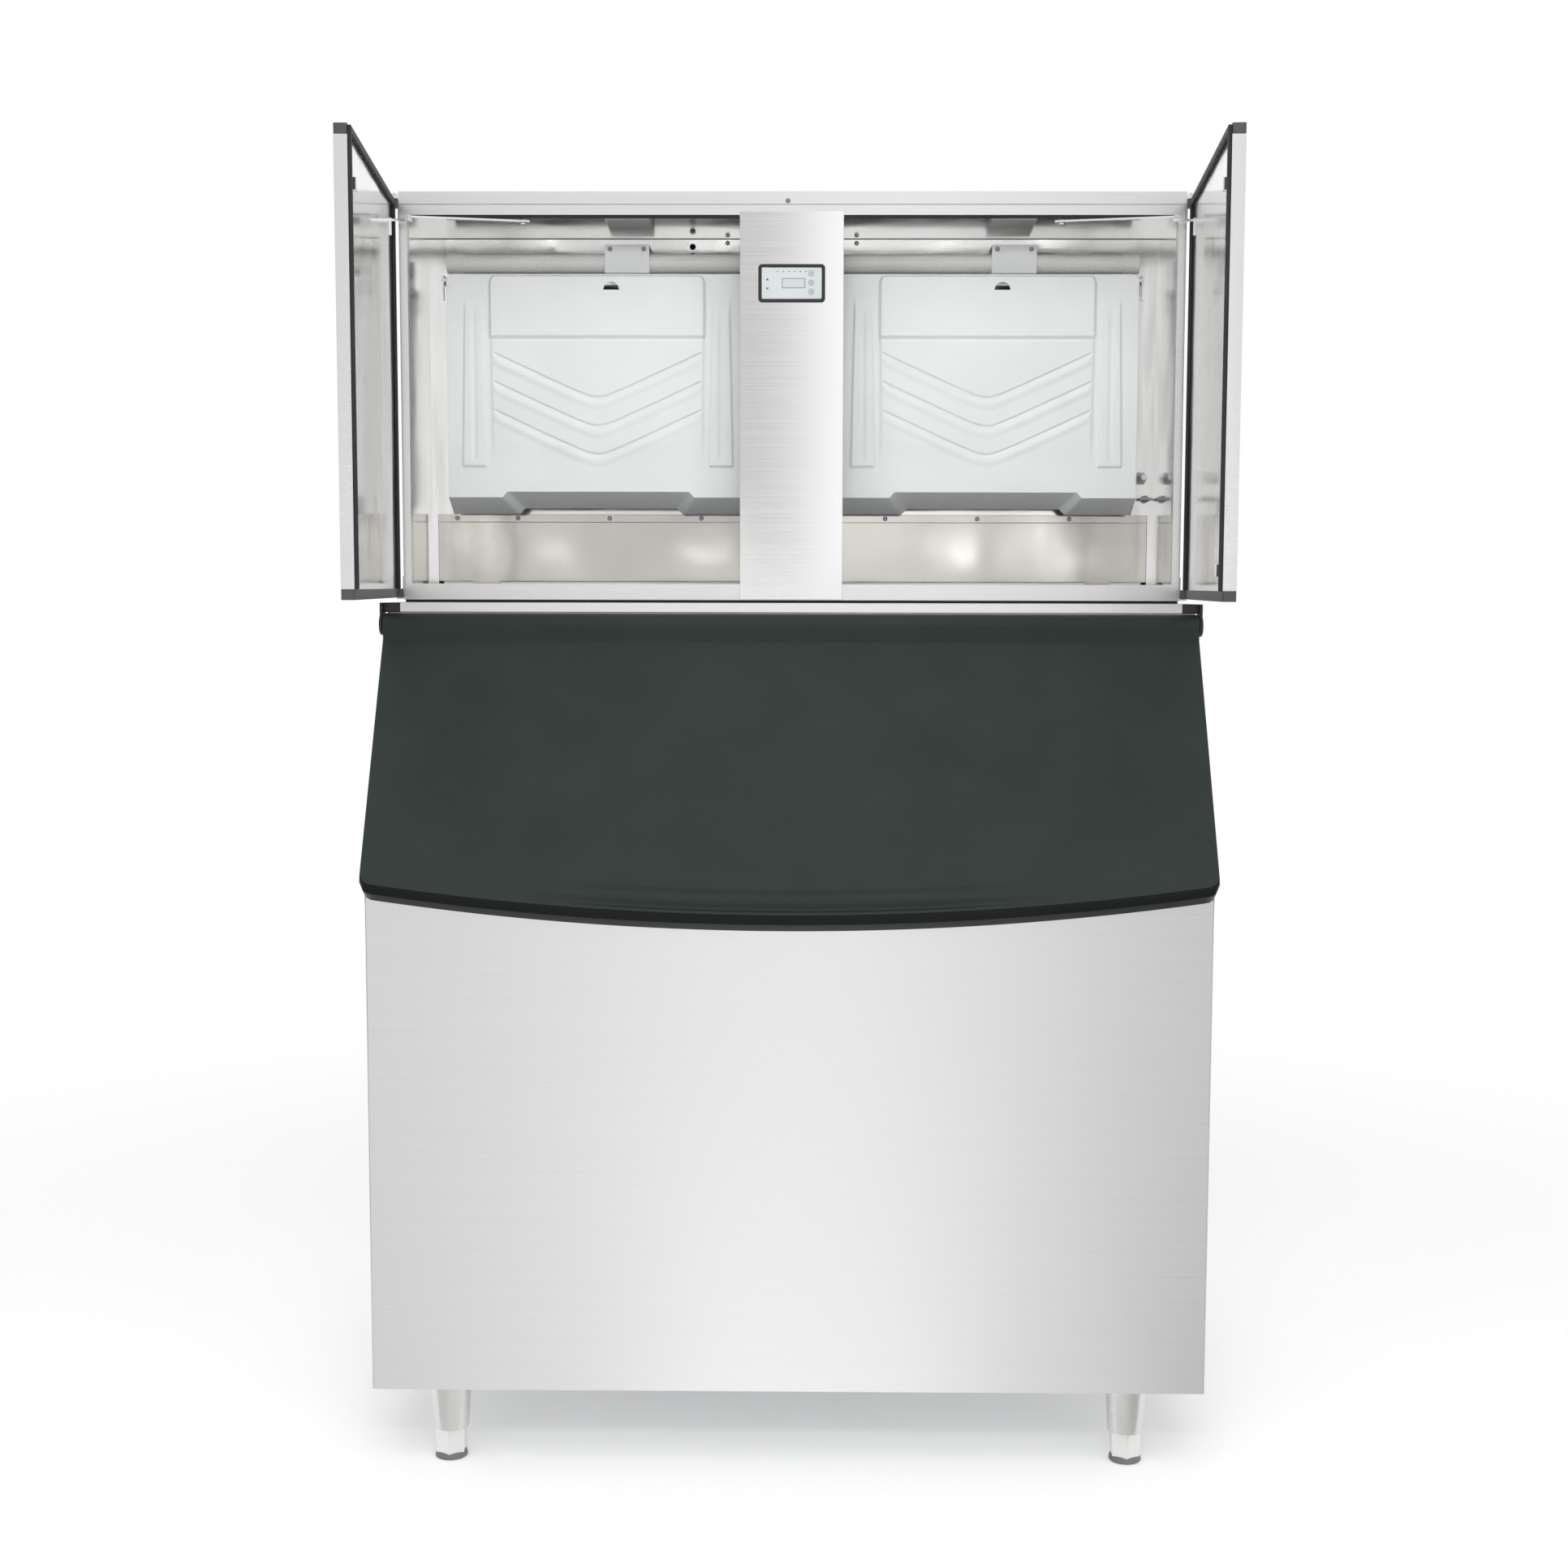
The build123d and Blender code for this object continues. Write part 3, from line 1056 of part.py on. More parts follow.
def legs():
    """Four tapered legs under the bin, each bored for the stud of its foot."""
    height = LEG_HEIGHT - FOOT_HEIGHT
    flare = degrees(atan2(LEG_TOP_R - LEG_LOW_R, height))
    shank = extrude(RegularPolygon(LEG_LOW_R, LEG_SIDES), height, taper=-flare)
    leg = shank - peg(0, 0, -1, FOOT_STUD_R + FIT, FOOT_STUD + 5)
    group = Part()
    for x, y in corners_of_base():
        group += Pos(x, y, FOOT_HEIGHT) * leg
    return group


def levelling_feet():
    """Hexagonal feet on a stud that screws into each leg, with a round pad on the floor."""
    foot = peg(0, 0, 0, FOOT_DISC_R, FOOT_DISC, "Z", 24)
    foot += peg(0, 0, FOOT_DISC, FOOT_FLAT, FOOT_HEIGHT - FOOT_DISC, "Z", 6)
    foot += peg(0, 0, FOOT_HEIGHT, FOOT_STUD_R, FOOT_STUD)
    group = Part()
    for x, y in corners_of_base():
        group += Pos(x, y, 0) * foot
    return group


def all_nodes():
    """Every sub-part by its node name."""
    nodes = {
        "head_base_pan": head_base_pan(),
        "head_side_right": head_side(),
        "head_side_left": mirror(head_side(), about=Plane.YZ),
        "head_back_panel": head_back_panel(),
        "head_top_cover": head_top_cover(),
        "front_frame": front_frame(),
        "centre_post": centre_post(),
        "opening_strips": opening_strips(),
        "bay_liner": bay_liner(),
        "bay_wall": bay_wall(),
        "evaporator_left": evaporator(-1),
        "evaporator_right": evaporator(1),
        "guard_panel": guard_panel(),
        "water_trough": water_trough(),
        "circulation_pump": circulation_pump(),
        "curtain_left": curtain(-1),
        "curtain_right": curtain(1),
        "curtain_hangers": curtain_hangers(),
        "distributor_tubes": distributor_tubes(),
        "tube_brackets": tube_brackets(),
        "hose_fitting": hose_fitting(),
        "wing_knob": wing_knob(),
        "screws": screws(),
        "stay_studs": stay_studs(),
        "hinge_brackets": hinge_brackets(),
        "control_bezel": control_bezel(),
        "control_face": control_face(),
        "compressor": compressor(),
        "condenser": condenser(),
        "fan_shroud": fan_shroud(),
        "fan_blade": fan_blade(),
        "base_gasket": base_gasket(),
        "bin_wrap": bin_wrap(),
        "bin_front_panel": bin_front_panel(),
        "bin_bottom_panel": bin_bottom_panel(),
        "bin_top_deck": bin_top_deck(),
        "mouth_frame": mouth_frame(),
        "bin_liner": bin_liner(),
        "bin_insulation": bin_insulation(),
        "bin_drain": bin_drain(),
        "hinge_fascia": hinge_fascia(),
        "hinge_blocks": hinge_blocks(),
        "hinge_rod": hinge_rod(),
        "lid_shell": lid_shell(),
        "lid_inner": lid_inner(),
        "lid_gasket": lid_gasket(),
        "legs": legs(),
        "levelling_feet": levelling_feet(),
    }
    for side, name in ((-1, "left"), (1, "right")):
        nodes[f"door_{name}_skin"] = door_skin(side)
        nodes[f"door_{name}_inner"] = door_inner_panel(side)
        nodes[f"door_{name}_caps"] = door_caps(side)
        nodes[f"door_{name}_gasket"] = door_gasket(side)
        nodes[f"door_{name}_fittings"] = door_fittings(side)
    nodes["stay_arm_left"] = stay_arm(-1)
    nodes["stay_arm_right"] = stay_arm(1)
    return nodes


def main():
    os.makedirs("parts", exist_ok=True)
    nodes = all_nodes()
    for name, shape in nodes.items():
        export_step(Pos(0, SHIFT_Y, 0) * shape, f"parts/{name}.step")
    rest, closed = stay_directions()
    along, across = stud_track()
    print("nodes", len(nodes), "moved by", round(SHIFT_Y, 3))
    print("stay ratio", round((closed - rest) / DOOR_OPEN - 1, 6),
          "slides", round(max(along) - min(along), 2), "across", round(max(across) - min(across), 2))


main()
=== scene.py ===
# %% [markdown]
# # A modular ice machine, dressed for its picture
# The machine is a stainless head that freezes cubes, on an insulated bin that keeps them.
# The CAD model gives every sheet, hinge and pipe its place, and this script adds what CAD leaves out:
# rounded folds, moulded surfaces, small fasteners and true finishes.
# Everything is in metres, and nothing here changes the size of the machine.

# %% Load the machine
import json
from math import cos, hypot, pi, radians, sin, sqrt

import bmesh
import bpy
from mathutils import Matrix, Vector

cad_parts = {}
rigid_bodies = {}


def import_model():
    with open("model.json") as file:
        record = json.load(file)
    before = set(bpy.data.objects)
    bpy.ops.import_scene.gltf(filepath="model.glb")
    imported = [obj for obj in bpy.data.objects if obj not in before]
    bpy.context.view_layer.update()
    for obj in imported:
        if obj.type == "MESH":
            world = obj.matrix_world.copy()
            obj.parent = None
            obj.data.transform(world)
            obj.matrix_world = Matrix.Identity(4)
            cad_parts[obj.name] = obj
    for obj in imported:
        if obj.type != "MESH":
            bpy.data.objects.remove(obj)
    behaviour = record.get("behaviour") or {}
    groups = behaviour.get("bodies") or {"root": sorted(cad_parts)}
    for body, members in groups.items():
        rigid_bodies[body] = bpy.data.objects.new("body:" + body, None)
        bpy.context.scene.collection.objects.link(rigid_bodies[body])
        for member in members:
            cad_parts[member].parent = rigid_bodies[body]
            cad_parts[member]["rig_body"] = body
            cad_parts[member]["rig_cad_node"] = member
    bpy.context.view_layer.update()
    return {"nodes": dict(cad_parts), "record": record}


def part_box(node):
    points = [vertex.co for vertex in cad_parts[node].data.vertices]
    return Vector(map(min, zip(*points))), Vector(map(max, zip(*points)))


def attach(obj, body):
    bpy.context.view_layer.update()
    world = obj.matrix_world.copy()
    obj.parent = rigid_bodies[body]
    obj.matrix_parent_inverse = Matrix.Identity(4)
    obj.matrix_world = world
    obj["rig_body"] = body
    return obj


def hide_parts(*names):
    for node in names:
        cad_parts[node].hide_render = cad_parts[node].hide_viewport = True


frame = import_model()
nodes = frame["nodes"]
record = frame["record"]

# %% [markdown]
# The record says which body each node rides on, and which finish it has.
# Two small tables from it save writing those names again later.

# %% Bodies and finishes of the nodes
body_of = {}
for body, members in record["behaviour"]["bodies"].items():
    for member in members:
        body_of[member] = body
slot_of = {part["node"]: part["material_slot"] for part in record["subparts"]}

# %% [markdown]
# Some helpers save writing the same steps again: they set the inputs of a shader node, add a node,
# and add a shape with an operator and apply its place to it.

# %% Helpers for nodes and shapes
WHITE = (1.0, 1.0, 1.0, 1.0)
ALONG_X = (0, pi / 2, 0)
ALONG_Y = (pi / 2, 0, 0)


def feed(tree, node, inputs):
    """Give the inputs of a node plain values, or link them to outputs of other nodes."""
    for key, value in inputs.items():
        if isinstance(value, bpy.types.NodeSocket):
            tree.links.new(value, node.inputs[key])
        else:
            node.inputs[key].default_value = value
    return node


def add_node(tree, kind, inputs={}, operation=None):
    """A new shader node with its inputs set."""
    node = tree.nodes.new("ShaderNode" + kind)
    if operation:
        node.operation = operation
    return feed(tree, node, inputs)


def add_shape(operator, name, scale=(1, 1, 1), **settings):
    """A shape made by an operator, with its place, turn and scale applied."""
    bpy.ops.object.select_all(action="DESELECT")
    operator(**settings)
    piece = bpy.context.active_object
    piece.name = name
    piece.scale = scale
    bpy.ops.object.transform_apply(location=True, rotation=True, scale=True)
    return piece


def add_cylinder(name, sides, radius, length, middle, turn=(0, 0, 0)):
    """A cylinder round its middle, upright unless it is turned."""
    return add_shape(bpy.ops.mesh.primitive_cylinder_add, name, vertices=sides, radius=radius,
                     depth=length, location=middle, rotation=turn)


# %% [markdown]
# ## The camera
# The photograph was taken from the front, a little above the joint between head and bin.
# Its place, turn and lens were worked out from 21 points of the machine.
# The camera is turned first, then tipped down, then rolled a hair about its own view.

# %% Camera
CAMERA_PLACE = (0.026098, -3.347549, 1.308170)
CAMERA_TURN = radians(0.6254)
CAMERA_TIP = radians(5.3615)
CAMERA_ROLL = radians(0.1220)
CAMERA_LENS = 48.7397
SENSOR_WIDTH = 36.0

bpy.ops.object.camera_add(location=(0, 0, 0))
camera = bpy.context.active_object
camera.name = "front_camera"
camera.matrix_world = (Matrix.Translation(CAMERA_PLACE) @ Matrix.Rotation(CAMERA_TURN, 4, "Z")
                       @ Matrix.Rotation(pi / 2 - CAMERA_TIP, 4, "X")
                       @ Matrix.Rotation(CAMERA_ROLL, 4, "Z"))
camera.data.lens = CAMERA_LENS
camera.data.sensor_width = SENSOR_WIDTH
camera.data.dof.use_dof = False
bpy.context.scene.camera = camera
print("camera", [round(v, 3) for v in camera.location], "lens", camera.data.lens)

# %% [markdown]
# ## The room
# The machine stands on a pale floor that runs off white behind it.
# For the camera, for shiny metal and for clear plastic, floor and world show plain white.
# All other light from the world is softer, so that the steel keeps some shape.

# %% World and floor
WORLD_LIGHT = 0.62
FLOOR_COLOUR = (0.86, 0.86, 0.86, 1.0)
FLOOR_ROUGHNESS = 0.9
FLOOR_SIZE = 60.0
FLOOR_LEVEL = -0.0005
FLOOR_LIFT = 0.28

bpy.context.scene.view_settings.view_transform = "Standard"
world = bpy.data.worlds.new("plain_room")
bpy.context.scene.world = world
world.use_nodes = True


def seen_rays(tree):
    """One where the ray comes from the camera, a shiny surface or a clear one, else nought."""
    path = add_node(tree, "LightPath").outputs
    first = add_node(tree, "Math", {0: path["Is Camera Ray"], 1: path["Is Glossy Ray"]}, "MAXIMUM")
    second = add_node(tree, "Math", {0: first.outputs[0], 1: path["Is Transmission Ray"]}, "MAXIMUM")
    return second.outputs[0]


room = world.node_tree
strength = add_node(room, "MapRange", {"Value": seen_rays(room), "To Min": WORLD_LIGHT, "To Max": 1.0})
feed(room, room.nodes["Background"], {"Color": WHITE, "Strength": strength.outputs["Result"]})

floor = add_shape(bpy.ops.mesh.primitive_plane_add, "studio_floor", size=FLOOR_SIZE,
                  location=(0, 0, FLOOR_LEVEL))
floor_finish = bpy.data.materials.new("studio_floor_white")
floor_finish.use_nodes = True
floor.data.materials.append(floor_finish)
floor_tree = floor_finish.node_tree
lift = add_node(floor_tree, "MapRange", {"Value": seen_rays(floor_tree), "To Min": 0.0,
                                         "To Max": FLOOR_LIFT})
floor_shader = feed(floor_tree, floor_tree.nodes["Principled BSDF"], {
    "Base Color": FLOOR_COLOUR, "Roughness": FLOOR_ROUGHNESS, "Specular IOR Level": 0.0,
    "Emission Color": WHITE, "Emission Strength": lift.outputs["Result"]})
print("floor ready")

# %% [markdown]
# Lamps fade with distance, so a real floor turns grey towards the horizon. Studios hide that with a
# sweep that is lit by itself. Here the floor blends, between two distances from the machine, into a
# plain white that the same rays see.

# %% Fade of the floor
FLOOR_NEAR = 1.3
FLOOR_FAR = 3.2

place = add_node(floor_tree, "TexCoord").outputs["Object"]
distance = add_node(floor_tree, "VectorMath", {0: place}, "LENGTH").outputs["Value"]
fade = add_node(floor_tree, "MapRange", {"Value": distance, "From Min": FLOOR_NEAR,
                                         "From Max": FLOOR_FAR})
fade.interpolation_type = "SMOOTHSTEP"
share = add_node(floor_tree, "Math", {0: fade.outputs["Result"], 1: seen_rays(floor_tree)}, "MULTIPLY")
far_white = add_node(floor_tree, "Emission", {"Strength": 1.0})
blend = add_node(floor_tree, "MixShader", {0: share.outputs[0], 1: floor_shader.outputs[0],
                                           2: far_white.outputs[0]})
feed(floor_tree, floor_tree.nodes["Material Output"], {"Surface": blend.outputs[0]})
print("floor fades from", FLOOR_NEAR, "to", FLOOR_FAR)

# %% [markdown]
# ## The lights
# Soft boxes do the work: a wide one overhead in front, one on each side at the height of the head,
# one in front that reaches in under its roof, and a weak one behind.

# %% Lights


def soft_box(name, place, aim, width, height, watts):
    """A rectangular area light that looks at a point."""
    bpy.ops.object.light_add(type="AREA", location=place)
    lamp = bpy.context.active_object
    lamp.name = name
    lamp.data.shape = "RECTANGLE"
    lamp.data.size = width
    lamp.data.size_y = height
    lamp.data.energy = watts
    lamp.rotation_euler = (Vector(aim) - Vector(place)).to_track_quat("-Z", "Y").to_euler()
    # Steel mirrors only the cards below, so the lamps leave no hard patch on it.
    lamp.visible_glossy = False


soft_box("overhead_box", (0.0, -2.4, 4.2), (0.0, 0.0, 0.9), 3.2, 2.2, 34)
soft_box("left_box", (-2.3, -3.3, 1.8), (-0.2, 0.0, 1.5), 1.1, 1.5, 11)
soft_box("right_box", (2.3, -3.3, 1.8), (0.2, 0.0, 1.5), 1.1, 1.5, 11)
soft_box("front_box", (0.0, -3.3, 2.55), (0.0, 0.0, 1.6), 1.3, 0.5, 26)
soft_box("back_box", (0.0, 3.0, 3.4), (0.0, 0.4, 1.0), 3.0, 1.6, 12)

# %% [markdown]
# Sheet steel shows what stands in front of it, so the shading of a steel cabinet is really a picture
# of the studio. A card on the floor and two behind the camera carry that picture. The bin's part is
# brightest near the middle and greyer towards both sides, and the head's part has a dark band beside
# a bright one, which the centre post shows. Only shiny surfaces see the cards.
# A ray that leaves the front at some width meets the cards further out, the further it has gone.
# Dividing by that growth turns each place on a card back into the width on the cabinet.

# %% Cards for the reflections
CABINET_FRONT = -0.306
CAMERA_REACH = 3.07
CARD_BACK = -3.7
CARD_HALF = 4.2
CARD_TOP = 3.4
CARD_GAP = 0.02
CARD_LIFT = 0.002
HEAD_LINE = 1.34
SHADE_REACH = 0.7
BIN_SHADES = ((-0.62, 0.70), (-0.40, 0.80), (-0.06, 1.02), (0.12, 1.0), (0.42, 0.74), (0.62, 0.54))
HEAD_SHADES = ((-0.66, 0.56), (-0.58, 0.84), (-0.25, 0.84), (-0.09, 0.56), (-0.01, 0.68), (0.05, 1.35),
               (0.11, 1.25), (0.25, 0.88), (0.58, 0.84), (0.66, 0.56))


def for_shiny_metal(piece, paint):
    """Paint a piece of the stage that only shiny surfaces see."""
    piece.visible_camera = piece.visible_diffuse = False
    piece.visible_shadow = piece.visible_transmission = False
    piece.data.materials.append(paint)


def shade_card(name, low, high, shades):
    """A card between two level edges; its grey follows the width on the cabinet that mirrors it."""
    mesh = bpy.data.meshes.new(name)
    corners = [(-CARD_HALF, *low), (CARD_HALF, *low), (CARD_HALF, *high), (-CARD_HALF, *high)]
    mesh.from_pydata(corners, [], [(0, 1, 2, 3)])
    card = bpy.data.objects.new(name, mesh)
    bpy.context.collection.objects.link(card)
    paint = bpy.data.materials.new(name + "_paint")
    paint.use_nodes = True
    tree = paint.node_tree
    place = add_node(tree, "TexCoord").outputs["Object"]
    parts = add_node(tree, "SeparateXYZ", {0: place}).outputs
    growth = add_node(tree, "MapRange", {"Value": parts["Y"], "From Min": CABINET_FRONT,
                                         "From Max": CABINET_FRONT - CAMERA_REACH,
                                         "To Min": 1.0, "To Max": 2.0})
    growth.clamp = False
    width = add_node(tree, "Math", {0: parts["X"], 1: growth.outputs["Result"]}, "DIVIDE")
    across = add_node(tree, "MapRange", {"Value": width.outputs[0], "From Min": -SHADE_REACH,
                                         "From Max": SHADE_REACH})
    ramp = add_node(tree, "ValToRGB", {"Fac": across.outputs["Result"]})
    stops = ramp.color_ramp.elements
    ramp.color_ramp.interpolation = "EASE"
    while len(stops) < len(shades):
        stops.new(0.5)
    for stop, (x, grey) in zip(stops, shades):
        stop.position = (x + SHADE_REACH) / (2 * SHADE_REACH)
        stop.color = (grey, grey, grey, 1.0)
    glow = add_node(tree, "Emission", {"Color": ramp.outputs["Color"]})
    feed(tree, tree.nodes["Material Output"], {"Surface": glow.outputs[0]})
    for_shiny_metal(card, paint)


shade_card("floor_card", (CARD_BACK, CARD_LIFT), (CABINET_FRONT - CARD_GAP, CARD_LIFT), BIN_SHADES)
shade_card("low_card", (CARD_BACK, 0.0), (CARD_BACK, HEAD_LINE), BIN_SHADES)
shade_card("high_card", (CARD_BACK, HEAD_LINE), (CARD_BACK, CARD_TOP), HEAD_SHADES)
print("cards stand behind the camera at", CARD_BACK)

# %% [markdown]
# The guard under the curtains mirrors the lamps of the room as soft round glints. Five small glowing
# ovals stand where that low panel reflects them, and the rest of the front does not.

# %% Glints
GLINT_PLACES = (-0.86, -0.31, 0.52, 0.84, 1.06)
GLINT_HEIGHT = 1.43
GLINT_GAP = 0.05
GLINT_RADIUS = 0.028
GLINT_STRETCH = 1.7
GLINT_GLOW = 6.5

glint_paint = bpy.data.materials.new("glint_glow")
glint_paint.use_nodes = True
feed(glint_paint.node_tree, glint_paint.node_tree.nodes["Principled BSDF"], {
    "Base Color": (0, 0, 0, 1), "Emission Color": WHITE, "Emission Strength": GLINT_GLOW})
for number, x in enumerate(GLINT_PLACES):
    glint = add_shape(bpy.ops.mesh.primitive_circle_add, "glint_%d" % number, vertices=32,
                      radius=GLINT_RADIUS, fill_type="NGON", rotation=ALONG_Y,
                      location=(x, CARD_BACK + GLINT_GAP, GLINT_HEIGHT), scale=(1, GLINT_STRETCH, 1))
    for_shiny_metal(glint, glint_paint)
print("glints", len(GLINT_PLACES))

# %% [markdown]
# ## Finishes
# A finish starts from the Principled shader, and noise on the object's own coordinates moves its
# colour, roughness and height. Stretching the noise along one axis makes it a brushed grain.

# %% Helpers for finishes
# Nearly all of the noise lies between these two values.
NOISE_LOW = 0.3
NOISE_HIGH = 0.7


def set_shader(finish, inputs):
    """Set or link the inputs of a finish's own shader."""
    feed(finish.node_tree, finish.node_tree.nodes["Principled BSDF"], inputs)


def new_finish(name, colour, roughness, metallic=0.0):
    """A material with its plain values set on the shader's own sockets."""
    finish = bpy.data.materials.new(name)
    finish.use_nodes = True
    set_shader(finish, {"Base Color": (*colour, 1.0), "Roughness": roughness, "Metallic": metallic})
    return finish


def noise_in(finish, stretch, detail):
    """Noise over the piece; a larger number in stretch makes it finer along that axis."""
    tree = finish.node_tree
    place = add_node(tree, "TexCoord").outputs["Object"]
    mapping = add_node(tree, "Mapping", {"Vector": place, "Scale": stretch})
    noise = add_node(tree, "TexNoise", {"Vector": mapping.outputs["Vector"], "Scale": 1.0,
                                        "Detail": detail})
    return noise.outputs["Fac"]


def vary_roughness(finish, value, low, high):
    """The roughness moves between two numbers."""
    spread = add_node(finish.node_tree, "MapRange", {"Value": value, "From Min": NOISE_LOW,
                                                     "From Max": NOISE_HIGH, "To Min": low,
                                                     "To Max": high})
    set_shader(finish, {"Roughness": spread.outputs["Result"]})


def vary_colour(finish, value, dark, light):
    """The colour moves between two tints."""
    ramp = add_node(finish.node_tree, "ValToRGB", {"Fac": value})
    stops = ramp.color_ramp.elements
    for stop, position, tint in zip(stops, (NOISE_LOW, NOISE_HIGH), (dark, light)):
        stop.position = position
        stop.color = (*tint, 1.0)
    set_shader(finish, {"Base Color": ramp.outputs["Color"]})


def raise_surface(finish, value, height):
    """A bump, in metres of height."""
    bump = add_node(finish.node_tree, "Bump", {"Distance": height, "Height": value})
    set_shader(finish, {"Normal": bump.outputs["Normal"]})


# %% [markdown]
# Stainless sheet is polished with a belt, so its grain runs one way, here level on every sheet.
# The noise is therefore very fine upwards and long drawn across. On sheets that stand upright it is
# long along both X and Y, so the grain follows the sheet round every fold.
# The sheet also has faint hand marks, which change its roughness over tens of centimetres.

# %% Brushed and bright steel
FINE = 1400.0
LONG = 5.0
MARKS_SHARE = 0.3


def shaded(colour, factor):
    """A colour made lighter or darker."""
    return tuple(c * factor for c in colour)


def brushed_steel(name, stretch, colour, low, high):
    """Sheet whose grain runs along the axes where the stretch is small."""
    finish = new_finish(name, colour, low, metallic=1.0)
    tree = finish.node_tree
    grain = noise_in(finish, stretch, detail=3.0)
    marks = noise_in(finish, (3.0, 3.0, 3.0), detail=3.0)
    marks = add_node(tree, "Math", {0: marks, 1: MARKS_SHARE}, "MULTIPLY").outputs[0]
    both = add_node(tree, "Math", {0: grain, 1: 1 - MARKS_SHARE, 2: marks}, "MULTIPLY_ADD")
    vary_roughness(finish, both.outputs[0], low, high)
    vary_colour(finish, grain, shaded(colour, 0.97), shaded(colour, 1.015))
    raise_surface(finish, grain, 0.00001)
    return finish


def bright_steel(name, low, high, wave, tone=(0.85, 0.847, 0.838)):
    """Annealed sheet that is nearly a mirror, with the slow waves that thin sheet always has."""
    finish = new_finish(name, tone, low, metallic=1.0)
    waves = noise_in(finish, (5.0, 5.0, 5.0), detail=1.0)
    smears = noise_in(finish, (14.0, 14.0, 5.0), detail=5.0)
    vary_roughness(finish, smears, low, high)
    vary_colour(finish, smears, shaded(tone, 0.965), shaded(tone, 1.02))
    raise_surface(finish, waves, wave)
    return finish


steel_front = brushed_steel("steel_front", (LONG, FINE, FINE), (0.88, 0.882, 0.88), 0.26, 0.34)
steel_wrap = brushed_steel("steel_wrap", (LONG, LONG, FINE), (0.84, 0.84, 0.838), 0.24, 0.34)
steel_post = brushed_steel("steel_post", (LONG, FINE, FINE), (0.86, 0.86, 0.858), 0.11, 0.18)
steel_bright = bright_steel("steel_bright", 0.08, 0.18, 0.0018)
steel_polished = bright_steel("steel_polished", 0.10, 0.20, 0.0004)
# The guard is the same bright steel in a darker, warmer tone; that tone is a painted reflection of a
# dimmer room.
steel_guard_painted_reflection = bright_steel("steel_guard_painted_reflection", 0.09, 0.15, 0.0026, tone=(0.60, 0.58, 0.545))
print("steels ready")

# %% [markdown]
# The other metals are hidden or half hidden: galvanised sheet with its flaky spangle at the back,
# nickel-plated copper in the ice plates, plain aluminium fins, black enamel on the compressor, and
# the dull steel of the screws.

# %% Other metals


def metal(name, colour, roughness, metallic, stretch, detail, tints, shine, height):
    """Metal whose colour, roughness and height all follow one noise."""
    finish = new_finish(name, colour, roughness, metallic)
    marks = noise_in(finish, stretch, detail)
    vary_colour(finish, marks, *tints)
    vary_roughness(finish, marks, *shine)
    raise_surface(finish, marks, height)
    return finish


galvanised = metal("galvanised_sheet", (0.60, 0.61, 0.62), 0.42, 0.9, (95.0, 95.0, 95.0), 2.0,
                   ((0.50, 0.51, 0.525), (0.68, 0.69, 0.70)), (0.34, 0.5), 0.00004)
plated = metal("nickel_plate", (0.74, 0.73, 0.70), 0.3, 1.0, (40.0, 40.0, 25.0), 6.0,
               ((0.62, 0.60, 0.56), (0.78, 0.77, 0.745)), (0.24, 0.5), 0.00005)
fin_metal = metal("fin_aluminium", (0.80, 0.80, 0.80), 0.38, 1.0, (700.0, 20.0, 20.0), 2.0,
                  ((0.60, 0.60, 0.60), (0.84, 0.84, 0.84)), (0.3, 0.5), 0.0002)
enamel = metal("black_enamel", (0.03, 0.03, 0.033), 0.3, 0.0, (260.0, 260.0, 260.0), 2.0,
               ((0.024, 0.024, 0.026), (0.04, 0.04, 0.043)), (0.25, 0.4), 0.00006)
set_shader(enamel, {"Coat Weight": 0.4})
steel_screw = metal("steel_screw", (0.34, 0.34, 0.335), 0.3, 1.0, (900.0, 900.0, 900.0), 2.0,
                    ((0.26, 0.26, 0.255), (0.40, 0.40, 0.395)), (0.24, 0.42), 0.00003)
print("other metals ready")

# %% [markdown]
# Moulded plastic is never one flat tone: the tool leaves a fine skin, and pigment clouds it a little.
# The black lid has a deep grain that scatters its shine into a soft grey-green veil.

# %% Plastics and rubber


def moulded(name, dark, light, low, high, grain, height, shine=0.5):
    """Plastic with clouded pigment and a fine moulded skin."""
    finish = new_finish(name, light, low)
    clouds = noise_in(finish, (9.0, 9.0, 9.0), detail=3.0)
    skin = noise_in(finish, (grain, grain, grain), detail=2.0)
    vary_colour(finish, clouds, dark, light)
    vary_roughness(finish, skin, low, high)
    raise_surface(finish, skin, height)
    set_shader(finish, {"Specular IOR Level": shine})
    return finish


white_plastic = moulded("white_moulding", (0.80, 0.815, 0.82), (0.84, 0.855, 0.86), 0.32, 0.42, 420.0,
                        0.00002)
grey_tube = moulded("tube_grey_white", (0.76, 0.755, 0.74), (0.80, 0.795, 0.78), 0.24, 0.34, 300.0,
                    0.00002)
white_liner = moulded("white_liner", (0.82, 0.82, 0.81), (0.87, 0.87, 0.86), 0.3, 0.42, 380.0, 0.00003)
lid_black = moulded("lid_grain_black", (0.0120, 0.0200, 0.0175), (0.0155, 0.0245, 0.0215), 0.42, 0.58,
                    900.0, 0.00010, shine=0.36)
# The lip's darker colour is painted shade, for the shade that falls under the pull.
lid_lip_painted_shade = moulded("lid_lip_painted_shade", (0.0040, 0.0062, 0.0055), (0.0055, 0.0080, 0.0070), 0.30, 0.42,
                        900.0, 0.00003, shine=0.16)
trim_black = moulded("trim_black", (0.012, 0.013, 0.013), (0.018, 0.02, 0.02), 0.32, 0.46, 500.0, 0.00004)
cap_grey = moulded("cap_dark_grey", (0.05, 0.053, 0.056), (0.066, 0.07, 0.073), 0.38, 0.5, 500.0, 0.00004)
mid_grey = moulded("grey_moulding", (0.36, 0.37, 0.38), (0.43, 0.44, 0.45), 0.4, 0.52, 420.0, 0.00004)
rubber = moulded("soft_black_rubber", (0.008, 0.008, 0.009), (0.016, 0.016, 0.017), 0.5, 0.68, 700.0,
                 0.00005)
